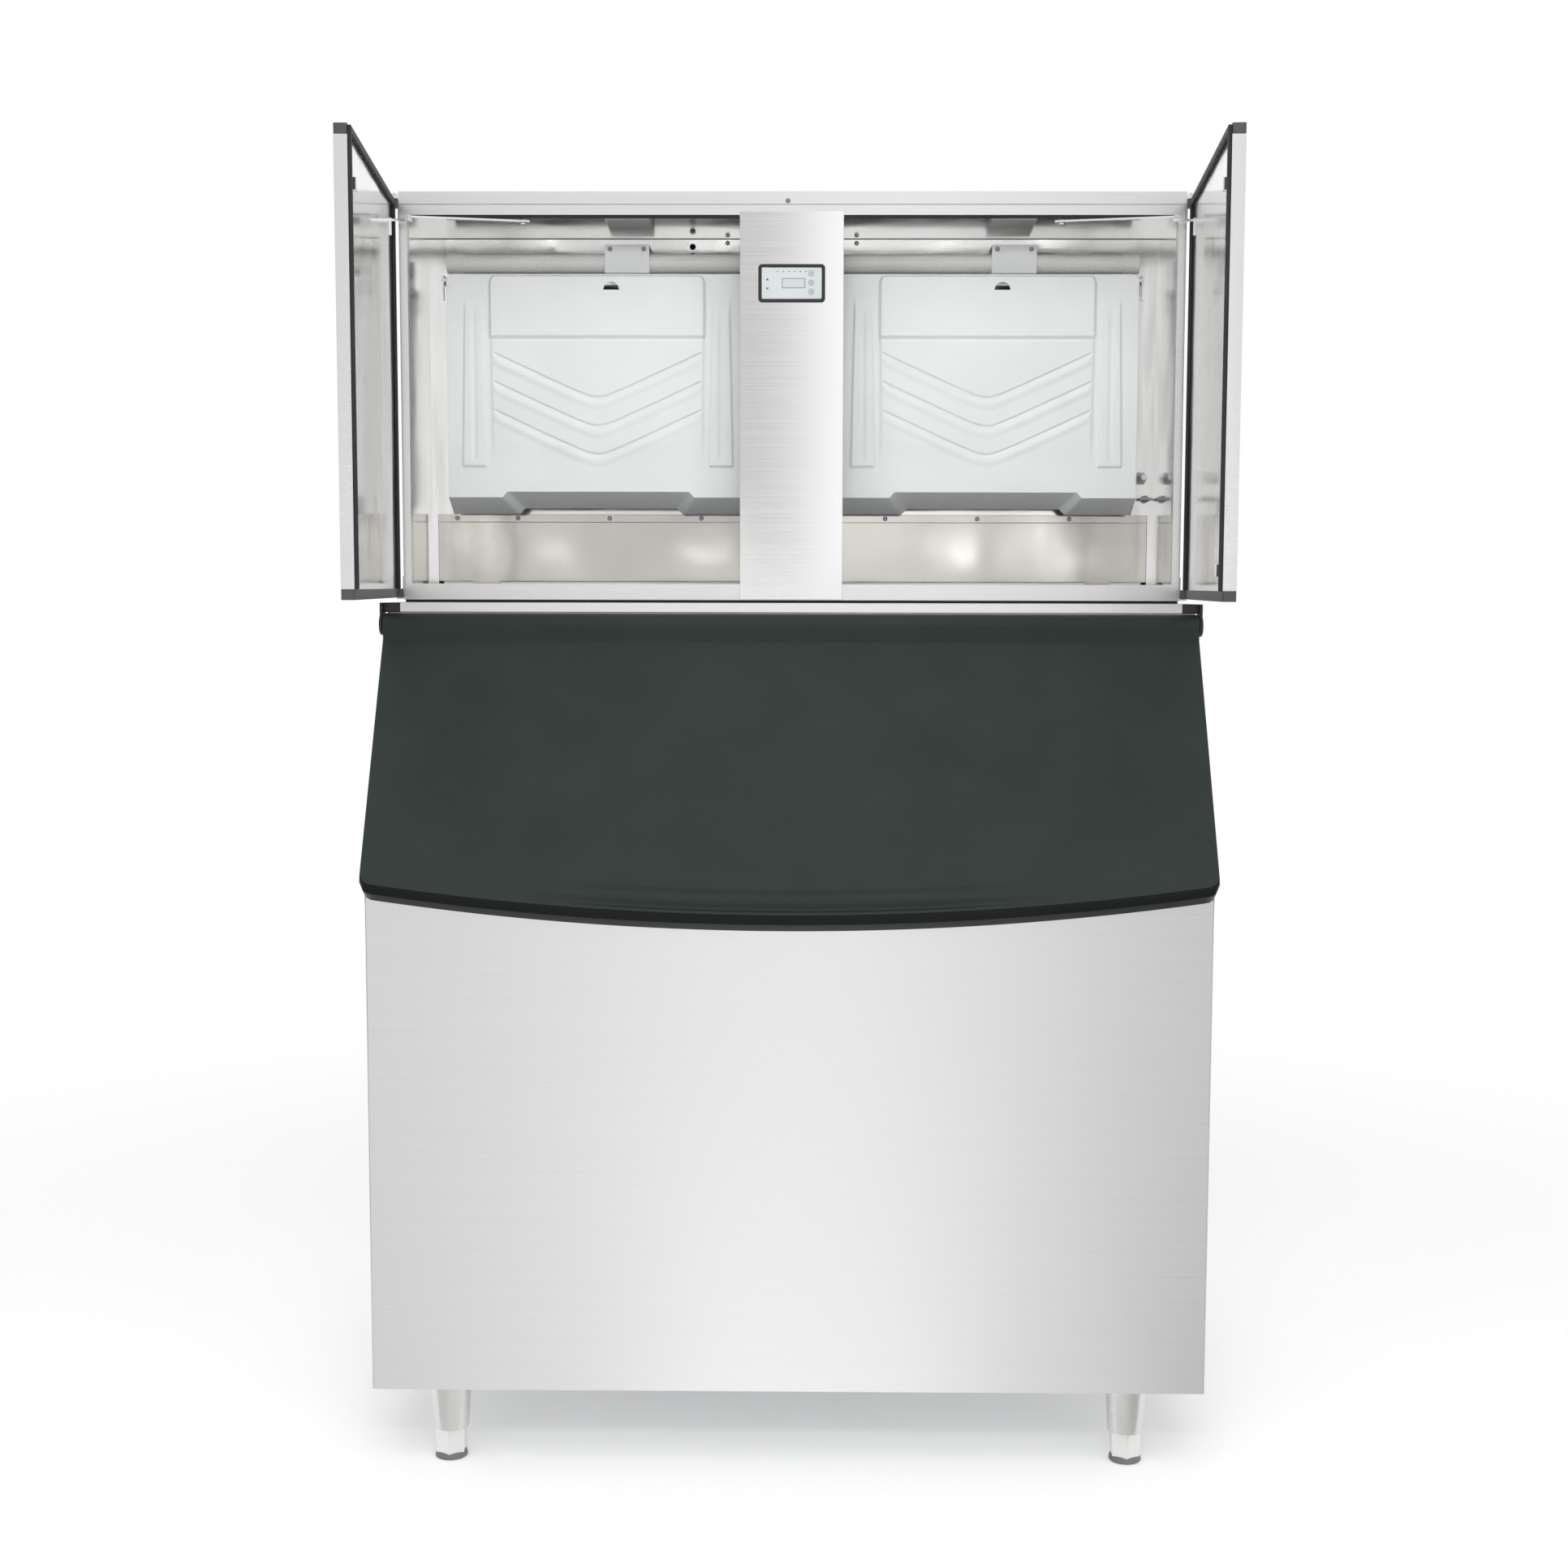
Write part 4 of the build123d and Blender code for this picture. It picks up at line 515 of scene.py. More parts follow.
foam = moulded("rigid_foam", (0.78, 0.73, 0.56), (0.88, 0.84, 0.68), 0.75, 0.9, 260.0, 0.0004)
membrane = moulded("panel_membrane", (0.60, 0.645, 0.66), (0.64, 0.68, 0.695), 0.34, 0.42, 600.0, 0.00001)
glass_grey = moulded("display_grey", (0.58, 0.62, 0.62), (0.62, 0.66, 0.66), 0.14, 0.2, 300.0, 0.000004)
print_dark = moulded("print_dark", (0.07, 0.10, 0.11), (0.10, 0.13, 0.14), 0.4, 0.5, 500.0, 0.00001)
pad_grey = moulded("pad_grey", (0.16, 0.16, 0.16), (0.22, 0.22, 0.22), 0.4, 0.55, 500.0, 0.00005)
print("plastics ready")

# %% [markdown]
# Each node now takes the finish that its slot in the record names.
# Sheets that stand upright or are folded round a corner take the grain that goes round with them.

# %% Give every node its finish
finish_of_slot = {
    "stainless": steel_front, "stainless_bright": steel_bright, "galvanised": galvanised,
    "copper_plate": plated, "white_plastic": white_plastic, "white_liner": white_liner,
    "black_plastic": trim_black, "dark_cap": cap_grey, "grey_plastic": mid_grey, "rubber": rubber,
    "foam_core": foam, "aluminium": fin_metal, "black_steel": enamel, "face_blue": membrane,
}
UPRIGHT_SHEETS = ("head_side_left", "head_side_right", "door_left_skin", "door_right_skin", "bin_wrap")
SMALL_BRIGHT = ("door_left_fittings", "door_right_fittings", "stay_arm_left", "stay_arm_right",
                "stay_studs", "hinge_brackets")
# The guard takes the bright steel with its darker tone, a painted reflection.
finish_of_node = {"guard_panel": steel_guard_painted_reflection, "centre_post": steel_post}
finish_of_node.update(dict.fromkeys(UPRIGHT_SHEETS, steel_wrap))
finish_of_node.update(dict.fromkeys(SMALL_BRIGHT, steel_polished))
for name, node in nodes.items():
    node.data.materials.clear()
    node.data.materials.append(finish_of_node.get(name, finish_of_slot[slot_of[name]]))
print("finishes given to", len(nodes), "nodes")

# %% [markdown]
# ## Rounded folds
# Real sheet is folded, not cut to a knife edge, and the small round fold catches a line of light.
# A CAD node may not be changed, so a copy is taken, its loose triangles are welded into clean
# faces, and a Bevel modifier rounds every corner before the copy stands in for the node.

# %% Helpers for modelling


def only(piece):
    """Select one object and nothing else."""
    bpy.ops.object.select_all(action="DESELECT")
    piece.select_set(True)
    bpy.context.view_layer.objects.active = piece


def start_edit(piece, kind="FACE"):
    """Go into edit mode on one object, with nothing selected."""
    only(piece)
    bpy.ops.object.mode_set(mode="EDIT")
    bpy.ops.mesh.select_mode(type=kind)
    bpy.ops.mesh.select_all(action="DESELECT")


def end_edit():
    bpy.ops.object.mode_set(mode="OBJECT")


def pick(piece, kind, test):
    """In edit mode, select the faces or the edges that pass a test."""
    bpy.ops.mesh.select_all(action="DESELECT")
    mesh = bmesh.from_edit_mesh(piece.data)
    for part in getattr(mesh, kind):
        part.select_set(bool(test(part)))
    bmesh.update_edit_mesh(piece.data)


def use_modifier(piece, kind, **settings):
    """Add a modifier, set it and apply it."""
    only(piece)
    modifier = piece.modifiers.new(kind.lower(), kind)
    for key, value in settings.items():
        setattr(modifier, key, value)
    bpy.ops.object.modifier_apply(modifier=modifier.name)


def soften(piece, width, segments, angle=50):
    """Round the edges that turn by more than an angle."""
    use_modifier(piece, "BEVEL", width=width, segments=segments, limit_method="ANGLE",
                 angle_limit=radians(angle))


def cut_away(piece, cutter):
    """Take one shape out of another."""
    use_modifier(piece, "BOOLEAN", operation="DIFFERENCE", object=cutter, solver="EXACT")
    bpy.data.objects.remove(cutter, do_unlink=True)


def smooth(piece, angle, flat_faces=True):
    """Smooth shading, with sharper edges kept crisp and large flat faces kept flat."""
    only(piece)
    bpy.ops.object.shade_smooth_by_angle(angle=radians(angle))
    if flat_faces:
        use_modifier(piece, "WEIGHTED_NORMAL", keep_sharp=True, weight=100)


def joined(pieces, name):
    """Several pieces as one."""
    only(pieces[0])
    for piece in pieces:
        piece.select_set(True)
    bpy.ops.object.join()
    pieces[0].name = name
    return pieces[0]


def copy_at(piece, place):
    """A copy of a piece, moved by a distance."""
    only(piece)
    bpy.ops.object.duplicate()
    copy = bpy.context.active_object
    copy.location = place
    bpy.ops.object.transform_apply(location=True, rotation=True, scale=True)
    return copy


def copies_at(piece, places, name, angle):
    """Copies of one piece at several places, as a single piece."""
    group = joined([copy_at(piece, place) for place in places], name)
    bpy.data.objects.remove(piece, do_unlink=True)
    smooth(group, angle)
    return group


def finish_piece(piece, finish, body):
    """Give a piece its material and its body."""
    piece.data.materials.clear()
    piece.data.materials.append(finish)
    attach(piece, body)


def rounded_copy(node_name, radius):
    """A copy of a CAD node, welded and with its corners rounded, that stands for the node."""
    only(nodes[node_name])
    bpy.ops.object.duplicate()
    piece = bpy.context.active_object
    piece.name = node_name + "_finished"
    piece.parent = None
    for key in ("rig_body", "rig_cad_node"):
        if key in piece:
            del piece[key]
    start_edit(piece)
    bpy.ops.mesh.select_all(action="SELECT")
    bpy.ops.mesh.remove_doubles(threshold=0.00002)
    bpy.ops.mesh.dissolve_limited(angle_limit=radians(1.5))
    end_edit()
    soften(piece, radius, 2, angle=40)
    smooth(piece, 30)
    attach(piece, body_of[node_name])
    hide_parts(node_name)
    return piece


# %% Folded sheets, caps and fittings
FOLD_RADII = {
    "head_top_cover": 0.0012, "centre_post": 0.0007, "front_frame": 0.0006, "guard_panel": 0.0006,
    "bin_front_panel": 0.0007, "hinge_fascia": 0.0007, "hinge_blocks": 0.0016, "bin_wrap": 0.0007,
    "door_left_skin": 0.0011, "door_right_skin": 0.0011, "door_left_caps": 0.0012,
    "door_right_caps": 0.0012, "door_left_gasket": 0.0012, "door_right_gasket": 0.0012,
    "door_left_fittings": 0.0004, "door_right_fittings": 0.0004, "stay_arm_left": 0.0004,
    "stay_arm_right": 0.0004, "stay_studs": 0.0003, "hinge_brackets": 0.0004,
    "tube_brackets": 0.0007, "hose_fitting": 0.0006, "wing_knob": 0.0009, "control_bezel": 0.0005,
    "lid_gasket": 0.0004, "bin_drain": 0.0008, "fan_blade": 0.0004, "opening_strips": 0.0008,
    "curtain_hangers": 0.0004, "mouth_frame": 0.0012, "lid_inner": 0.0025,
    "water_trough": 0.0008, "circulation_pump": 0.0010, "compressor": 0.003,
    "base_gasket": 0.001,
}
for name, radius in FOLD_RADII.items():
    piece = rounded_copy(name, radius)
    print(name, "faces", len(piece.data.polygons))

# %% [markdown]
# ## The lid
# The bin's lid is one black moulding. It hangs from a roll along its top, its face slopes forward,
# and its lower edge is bowed. Along that edge runs a pull, a soft swelling over a groove, which fades
# out towards the corners. Below it the lip rolls under.
# The face is a grid, and each of its points is placed by two numbers: how far along the slope it
# lies, and how far it stands out. That keeps the bow and the pull in one smooth skin.

# %% Measures of the lid
NOSE_DROP = 0.002
deck_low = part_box("bin_top_deck")[0]
NOSE = Vector((0.0, deck_low[1], deck_low[2] - NOSE_DROP))
DOWN = Vector((0.0, -0.5086, -0.8610))
OUT = Vector((0.0, -0.8610, 0.5086))
LID_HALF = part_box("lid_shell")[1][0]
LID_FACE = 0.0274
LID_TOP_S = 0.004
LID_CORNER_S = 0.4245
LID_MIDDLE_S = 0.4725
LID_CORNER_R = 0.016
LID_RIM_R = 0.0075
LID_DEPTH = 0.0245
LID_WALL = 0.0022
LIP_ROLL = 0.0042
LIP_REACH = 0.0130
PULL_HALF = 0.33
# Height, distance above the lower edge and half width of the swelling, the groove and the band.
PULL_SHAPES = ((0.0064, 0.0370, 0.0170), (-0.0026, 0.0230, 0.0070), (0.0012, 0.0150, 0.0050))
print("nose", NOSE, "lid half width", LID_HALF)


def on_slope(x, s, out):
    """A point x across, s down the slope and out from it."""
    return Vector((x, 0, 0)) + NOSE + DOWN * s + OUT * out


def bowed(x):
    """How far down the slope the lower edge lies at x, with the corner turned in."""
    share = min(1.0, abs(x) / LID_HALF)
    low = LID_MIDDLE_S + (LID_CORNER_S - LID_MIDDLE_S) * share * share
    into = abs(x) - (LID_HALF - LID_CORNER_R)
    if into > 0:
        low -= LID_CORNER_R - sqrt(max(0.0, LID_CORNER_R ** 2 - into ** 2))
    return low


def swell(distance, width):
    """A smooth hump that is one in its middle and nought at its ends."""
    t = abs(distance) / width
    return 0.0 if t >= 1 else (1 - t * t) ** 2


def pull_height(x, up):
    """Height of the pull at a distance up from the lower edge."""
    fade = 1.0 / (1.0 + (abs(x) / PULL_HALF) ** 8)
    pull = sum(height * swell(up - place, width) for height, place, width in PULL_SHAPES)
    return fade * pull - LIP_ROLL * max(0.0, 1.0 - up / LIP_REACH) ** 2


# %% [markdown]
# The grid is drawn flat with an operator, and its points are then moved one by one.
# The rows crowd together near the lower edge, where the pull needs them.

# %% Lid face
ROWS_PLAIN = 10
ROWS_PULL = 50
COLUMNS = 110
CROWDING = 0.45
PULL_REACH = 0.080

lid = add_shape(bpy.ops.mesh.primitive_grid_add, "lid_moulding", x_subdivisions=COLUMNS,
                y_subdivisions=ROWS_PLAIN + ROWS_PULL, size=2.0, location=(0, 0, 0))
for vertex in lid.data.vertices:
    # Columns crowd towards the ends, where the corner turns.
    across = vertex.co.x
    x = LID_HALF * ((1 - CROWDING) * across + CROWDING * sin(across * pi / 2))
    row = (1 - vertex.co.y) / 2 * (ROWS_PLAIN + ROWS_PULL)
    low = bowed(x)
    split = low - PULL_REACH
    if row <= ROWS_PLAIN:
        s = LID_TOP_S + (split - LID_TOP_S) * row / ROWS_PLAIN
    else:
        s = split + PULL_REACH * (row - ROWS_PLAIN) / ROWS_PULL
    vertex.co = on_slope(x, s, LID_FACE + pull_height(x, low - s))
print("lid face points", len(lid.data.vertices))

# %% [markdown]
# Extruding the border of the face backwards makes the rim. Only the edges between the face and that
# rim are weighted, so a Bevel modifier rounds them alone, and Solidify then gives the wall.

# %% Lid rim
# A face looks along a direction clearly or hardly when its normal shares this much with it.
CLEARLY = 0.6
HARDLY = 0.35


def pull_border(piece, move, test):
    """Extrude those open edges of a skin that pass a test along a vector, and leave them selected."""
    start_edit(piece, "EDGE")
    pick(piece, "edges", lambda edge: len(edge.link_faces) == 1 and test(edge))
    bpy.ops.mesh.extrude_region_move(TRANSFORM_OT_translate={"value": tuple(move)})


def turn_outward(piece, outward):
    """Make the faces of a skin agree, and turn it over if more of them look inward."""
    start_edit(piece)
    bpy.ops.mesh.select_all(action="SELECT")
    bpy.ops.mesh.normals_make_consistent(inside=False)
    end_edit()
    facing = [polygon.normal.dot(outward) for polygon in piece.data.polygons]
    if sum(value < -CLEARLY for value in facing) > sum(value > CLEARLY for value in facing):
        start_edit(piece)
        bpy.ops.mesh.select_all(action="SELECT")
        bpy.ops.mesh.flip_normals()
        end_edit()


def weight_corner(piece, outward):
    """Weight the edges between faces that look outward and faces that look across."""
    beside = {}
    for polygon in piece.data.polygons:
        for key in polygon.edge_keys:
            beside.setdefault(key, []).append(abs(polygon.normal.dot(outward)))
    layer = piece.data.attributes.new("bevel_weight_edge", "FLOAT", "EDGE")
    for edge in piece.data.edges:
        facing = sorted(beside[edge.key])
        if len(facing) == 2 and facing[0] < HARDLY and facing[1] > CLEARLY:
            layer.data[edge.index].value = 1.0


def skin_to_wall(piece, outward, radius, segments, thickness):
    """Turn a skin outward, round the corner of its rim and give it a thickness."""
    turn_outward(piece, outward)
    weight_corner(piece, outward)
    use_modifier(piece, "BEVEL", width=radius, segments=segments, limit_method="WEIGHT")
    use_modifier(piece, "SOLIDIFY", thickness=thickness, offset=-1.0)


pull_border(lid, -OUT * LID_DEPTH, lambda edge: True)
end_edit()
skin_to_wall(lid, OUT, LID_RIM_R, 5, LID_WALL)
print("lid with rim", len(lid.data.polygons), "faces")

# %% [markdown]
# The roll is a thick round bead that the hinge rod passes through, and a short neck joins it to the
# face. A cylinder and the lines of the neck are wrapped in one convex hull, which gives that shape
# at once, and its ends are bevelled.

# %% Lid roll
ROLL_S = -0.01186
ROLL_OUT = 0.02907
ROLL_R = 0.017
ROLL_HALF = LID_HALF - 0.0004
# Where the lines of the neck run: how far down the slope, and how far out from it.
NECK_LINES = ((0.017, LID_FACE - 0.0012), (0.017, LID_FACE - 0.008), (0.004, 0.0155))

roll = add_cylinder("lid_roll", 72, ROLL_R, 2 * ROLL_HALF, on_slope(0, ROLL_S, ROLL_OUT), ALONG_X)
start_edit(roll, "VERT")
mesh = bmesh.from_edit_mesh(roll.data)
for x in (-ROLL_HALF, ROLL_HALF):
    for s, out in NECK_LINES:
        mesh.verts.new(on_slope(x, s, out))
bmesh.update_edit_mesh(roll.data)
bpy.ops.mesh.select_all(action="SELECT")
bpy.ops.mesh.convex_hull()
bpy.ops.mesh.dissolve_limited(angle_limit=radians(1.0))
end_edit()
soften(roll, 0.0022, 3)

joined([lid, roll], "lid_moulding")
smooth(lid, 35, flat_faces=False)
finish_piece(lid, lid_black, "bin_lid")
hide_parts("lid_shell")
print("lid done", len(lid.data.polygons), "faces")

# %% [markdown]
# The lip under the groove lies in shade. Its faces are those close to the lower edge, and they take
# a finish of their own with little grain and a weaker shine, whose darker colour is painted shade.
# Faces that look sideways belong to the rim beyond the corner, so they keep the grain.

# %% Lid lip
LIP_HEIGHT = 0.0135
lid.data.materials.append(lid_lip_painted_shade)
lip_faces = 0
for polygon in lid.data.polygons:
    along = (polygon.center - NOSE).dot(DOWN)
    if along > bowed(polygon.center.x) - LIP_HEIGHT and abs(polygon.normal.x) < CLEARLY:
        polygon.material_index = len(lid.data.materials) - 1
        lip_faces += 1
print("lip faces", lip_faces)

# %% [markdown]
# ## The water curtains
# A moulded white curtain hangs in front of each ice plate and keeps the water in. Its upper panel
# stands proud, a shallow field below it carries three V grooves, and a rib runs down each side.
# Ordinary grids would cut the V grooves into little stairs. So the rows of this grid are bent into
# the same V as the grooves, and the fine rows then follow each groove exactly.

# %% Measures of a curtain
CURTAIN_HALF = 0.240
CURTAIN_BAY = 0.310
CURTAIN_TOP = 1.799
PANEL_PROUD = 0.0060
CURTAIN_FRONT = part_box("curtain_left")[0][1] + PANEL_PROUD
CURTAIN_DEEP = 0.067
CURTAIN_DROP = 0.352
FIELD_HALF = 0.170
FIELD_FALL = 0.079
PANEL_FOOT = 0.097
FIELD_TOP = 0.106
FIELD_FOOT = 0.300
GROOVE_EDGES = (0.120, 0.165, 0.210)
V_ROUND = 0.016
CORNER_R = 0.014
RIB_TOP = 0.052
RIB_FOOT = 0.303
PANEL_HEAD = 0.002
PANEL_CORNER = 0.012
FIELD_PROUD = 0.0026
GROOVE_DEEP = 0.0030
GROOVE_HALF = 0.0030
RIDGE_PROUD = 0.0015
RIDGE_DROP = 0.0110
RIDGE_HALF = 0.0100
RIB_INNER = 0.183
RIB_OUTER = 0.211
RIB_WIDENING = 0.005
RIB_PROUD = 0.0032
FLUTE_MIDDLE = 0.197
FLUTE_HALF = 0.006
FLUTE_DEEP = 0.0016
print("curtain face at y", CURTAIN_FRONT)


def rise(value, low, high):
    """Nought below low, one above high, and a smooth step between."""
    t = min(1.0, max(0.0, (value - low) / (high - low)))
    return t * t * (3 - 2 * t)


def between(value, low, high, soft):
    """One between low and high and nought outside, with a soft step at each."""
    return rise(value, low - soft, low + soft) * (1.0 - rise(value, high - soft, high + soft))


def v_share(x):
    """One in the middle of the V and nought at its two ends, with the point rounded off."""
    run = sqrt(x * x + V_ROUND * V_ROUND) - V_ROUND * 0.35
    return max(0.0, 1.0 - run / FIELD_HALF)


def panel_share(x, drop):
    """One on the upper panel, whose top corners are round."""
    across, above = x - (FIELD_HALF - PANEL_CORNER), PANEL_HEAD + PANEL_CORNER - drop
    corner = hypot(across, above) - PANEL_CORNER if across > 0 and above > 0 else -PANEL_CORNER
    share = 1.0 - rise(x, FIELD_HALF - 0.002, FIELD_HALF + 0.0035)
    share *= rise(drop, PANEL_HEAD, 0.005) * (1.0 - rise(corner, -0.0015, 0.0020))
    return share * (1.0 - rise(drop, PANEL_FOOT - 0.001, PANEL_FOOT + 0.006))


def field_share(x, drop):
    """One on the shallow field, which narrows a little and fades out at its foot."""
    edge = FIELD_HALF - 0.02 * max(0.0, drop - FIELD_TOP)
    share = (1.0 - rise(x, edge - 0.003, FIELD_HALF + 0.002)) * rise(drop, PANEL_FOOT, FIELD_TOP)
    return share * (1.0 - rise(drop, FIELD_FOOT - 0.040, FIELD_FOOT))


def curtain_height(x, drop):
    """How far the face stands forward at x across and a depth below the top."""
    x = abs(x)
    height = PANEL_PROUD * panel_share(x, drop) + FIELD_PROUD * field_share(x, drop)
    ends = 1.0 - rise(x, FIELD_HALF - 0.010, FIELD_HALF - 0.001)
    for edge in GROOVE_EDGES:
        below = drop - (edge + FIELD_FALL * v_share(x))
        height -= GROOVE_DEEP * ends * swell(below, GROOVE_HALF)
        height += RIDGE_PROUD * ends * swell(below - RIDGE_DROP, RIDGE_HALF)
    taper = RIB_WIDENING * (drop - RIB_TOP) / (RIB_FOOT - RIB_TOP)
    rib = between(x, RIB_INNER - taper, RIB_OUTER + taper, 0.002) * between(drop, RIB_TOP, RIB_FOOT, 0.002)
    flute = swell(x - FLUTE_MIDDLE, FLUTE_HALF) * between(drop, RIB_TOP + 0.012, RIB_FOOT - 0.012, 0.004)
    return height + RIB_PROUD * rib - FLUTE_DEEP * flute


# %% [markdown]
# The rows and columns are listed as stretches: where one ends, and how many steps it takes.
# A row is given by its depth at the sides and its depth in the middle.

# %% Rows and columns of a curtain
ROW_STRETCHES = [(0.000, 0.000, 1), (0.006, 0.006, 5), (0.016, 0.016, 5), (0.092, 0.090, 8),
                 (0.108, 0.107, 14)]
for edge in GROOVE_EDGES:
    for past, steps in ((-0.0045, 8), (0.0045, 12), (0.0200, 8)):
        ROW_STRETCHES.append((edge + past, edge + FIELD_FALL + past, steps))
ROW_STRETCHES += [(0.292, 0.308, 12), (0.306, 0.318, 10), (CURTAIN_DROP, CURTAIN_DROP, 8)]
COLUMN_STRETCHES = [(0.0, 1), (0.020, 12), (0.150, 30), (0.164, 6), (0.176, 14), (0.188, 12), (0.206, 12),
                    (0.218, 12), (CURTAIN_HALF, 6)]


def spaced(stretches):
    """The points along a list of stretches, each with its own number of even steps."""
    points = []
    for start, end in zip(stretches, stretches[1:]):
        steps = end[-1]
        for i in range(steps):
            points.append(tuple(a + (b - a) * i / steps for a, b in zip(start[:-1], end[:-1])))
    return points + [stretches[-1][:-1]]


rows = spaced(ROW_STRETCHES)
half_columns = [point[0] for point in spaced(COLUMN_STRETCHES)]
columns = [-x for x in reversed(half_columns[1:])] + half_columns
print("curtain rows", len(rows), "columns", len(columns))

# %% [markdown]
# Below the face, the skin turns back under the curtain and falls a little, to send the water into
# the trough. In the middle that foot is cut higher, as a scoop that narrows to the back.

# %% Foot of a curtain
FOOT_BACK = 0.052
FOOT_FALL = 0.025
FOOT_STEPS = 12
SCOOP_HALF = 0.150
SCOOP_RISE = 0.009
SCOOP_NARROWING = 0.022


def scoop(x, back):
    """How much the middle of the foot is raised, at a distance back from the face."""
    edge = SCOOP_HALF - SCOOP_NARROWING * back / FOOT_BACK
    return SCOOP_RISE * (1.0 - rise(abs(x), edge - 0.004, edge + 0.004))


def round_corner(x, drop):
    """Draw the points near a top corner in, so that the square corner becomes a quarter circle."""
    into, above = abs(x) - (CURTAIN_HALF - CORNER_R), CORNER_R - drop
    if into <= 0 or above <= 0:
        return x, drop
    share = max(into, above) / hypot(into, above)
    return (CURTAIN_HALF - CORNER_R + into * share) * (1 if x > 0 else -1), CORNER_R - above * share


def curtain_point(x, row, foot):
    """The place of one point of the skin, for a row of the face or a step of the foot."""
    if foot == 0:
        side, middle = rows[row]
        x, drop = round_corner(x, side + (middle - side) * v_share(x))
        lift = scoop(x, 0.0) * rise(drop, CURTAIN_DROP - 0.05, CURTAIN_DROP)
        return (x, CURTAIN_FRONT - curtain_height(x, drop), CURTAIN_TOP - drop + lift)
    back = FOOT_BACK * foot / FOOT_STEPS
    fall = FOOT_FALL * foot / FOOT_STEPS
    return (x, CURTAIN_FRONT + back, CURTAIN_TOP - CURTAIN_DROP - fall + scoop(x, back))


# %% Skin of a curtain
last_column, face_row = len(columns) - 1, len(rows) - 1
last_row = face_row + FOOT_STEPS
curtain = add_shape(bpy.ops.mesh.primitive_grid_add, "curtain_skin", x_subdivisions=last_column,
                    y_subdivisions=last_row, size=2.0, location=(0, 0, 0))
for vertex in curtain.data.vertices:
    column = round((vertex.co.x + 1) / 2 * last_column)
    row = round((1 - vertex.co.y) / 2 * last_row)
    vertex.co = curtain_point(columns[column], min(row, face_row), max(0, row - face_row))
print("curtain skin", len(curtain.data.polygons), "faces")

# %% [markdown]
# The top and side borders are pulled back to make the walls of the tray. The moulded corner between
# face and wall is rounded, and Solidify gives the plastic its thickness.

# %% Walls of a curtain
CURTAIN_RIM_R = 0.0035
CURTAIN_WALL = 0.0028
foot_end = CURTAIN_FRONT + FOOT_BACK - 0.001

pull_border(curtain, (0, 0.010, 0), lambda edge: any(v.co.y <= foot_end for v in edge.verts))
mesh = bmesh.from_edit_mesh(curtain.data)
for vertex in mesh.verts:
    if vertex.select:
        vertex.co.y = CURTAIN_FRONT + CURTAIN_DEEP
bmesh.update_edit_mesh(curtain.data)
end_edit()
skin_to_wall(curtain, Vector((0, -1, 0)), CURTAIN_RIM_R, 4, CURTAIN_WALL)
print("curtain with walls", len(curtain.data.polygons), "faces")

# %% [markdown]
# A half-round finger hole sits near the top, its flat side down. The cutter is a short cylinder with
# its lower half bisected away, and a Boolean takes it out of the wall.

# %% Finger hole and pivot pins
HOLE_X = 0.023
HOLE_R = 0.0125
HOLE_DROP = 0.0255
HOLE_DEEP = 0.03
PIN_R = 0.003
PIN_LENGTH = 0.009
PIN_DROP = 0.009
PIN_BACK = 0.006
PIN_SUNK = 0.001

hole = (HOLE_X, CURTAIN_FRONT, CURTAIN_TOP - HOLE_DROP)
cutter = add_cylinder("hole_cutter", 48, HOLE_R, HOLE_DEEP, hole, ALONG_Y)
start_edit(cutter)
bpy.ops.mesh.select_all(action="SELECT")
bpy.ops.mesh.bisect(plane_co=hole, plane_no=(0, 0, 1), clear_inner=True, use_fill=True)
end_edit()
cut_away(curtain, cutter)

pins = []
for side in (-1, 1):
    middle = (side * (CURTAIN_HALF + PIN_LENGTH / 2 - PIN_SUNK), CURTAIN_FRONT + PIN_BACK,
              CURTAIN_TOP - PIN_DROP)
    pins.append(add_cylinder("pivot_pin", 24, PIN_R, PIN_LENGTH, middle, ALONG_X))
    soften(pins[-1], 0.0006, 2)
joined([curtain] + pins, "curtain_skin")
smooth(curtain, 40, flat_faces=False)
print("curtain ready", len(curtain.data.polygons), "faces")

# %% [markdown]
# The two curtains are the same moulding, so each is a copy with a mesh of its own.

# %% Hang both curtains
for side, name in ((-1, "left"), (1, "right")):
    hung = copy_at(curtain, (side * CURTAIN_BAY, 0, 0))
    hung.name = "curtain_moulding_" + name
    finish_piece(hung, white_plastic, name + "_curtain")
    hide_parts("curtain_" + name)
bpy.data.objects.remove(curtain, do_unlink=True)
print("curtains hung")

# %% [markdown]
# ## Legs and feet
# The bin stands on four legs of brushed tube that narrow to the floor. The last part of each is a
# hexagonal foot, which is turned with a spanner to level the machine.
# One leg is modelled at the origin and copied to the four corners.

# %% Measures of the legs
LEG_PLACES = [(side * 0.507, depth, 0.0) for depth in (-0.256122, 0.511878) for side in (-1, 1)]
LEG_TOP = 0.120
LEG_SEAM = 0.046
LEG_TOP_R = 0.0308
LEG_LOW_R = 0.0268
FOOT_FLAT_R = 0.0228
FOOT_PAD_R = 0.0248
FOOT_PAD = 0.010
FOOT_FIT = 0.985
PAD_GAP = 0.0001
# How squarely a face has to look along an axis to be picked.
SQUARELY = 0.9


def draw_in(factor):
    """Draw the picked end in, level with the floor."""
    bpy.ops.transform.resize(value=(factor, factor, 1))


def draw_out(height):
    """Extrude the picked end upwards, or downwards by a height below nought."""
    bpy.ops.mesh.extrude_region_move(TRANSFORM_OT_translate={"value": (0, 0, height)})


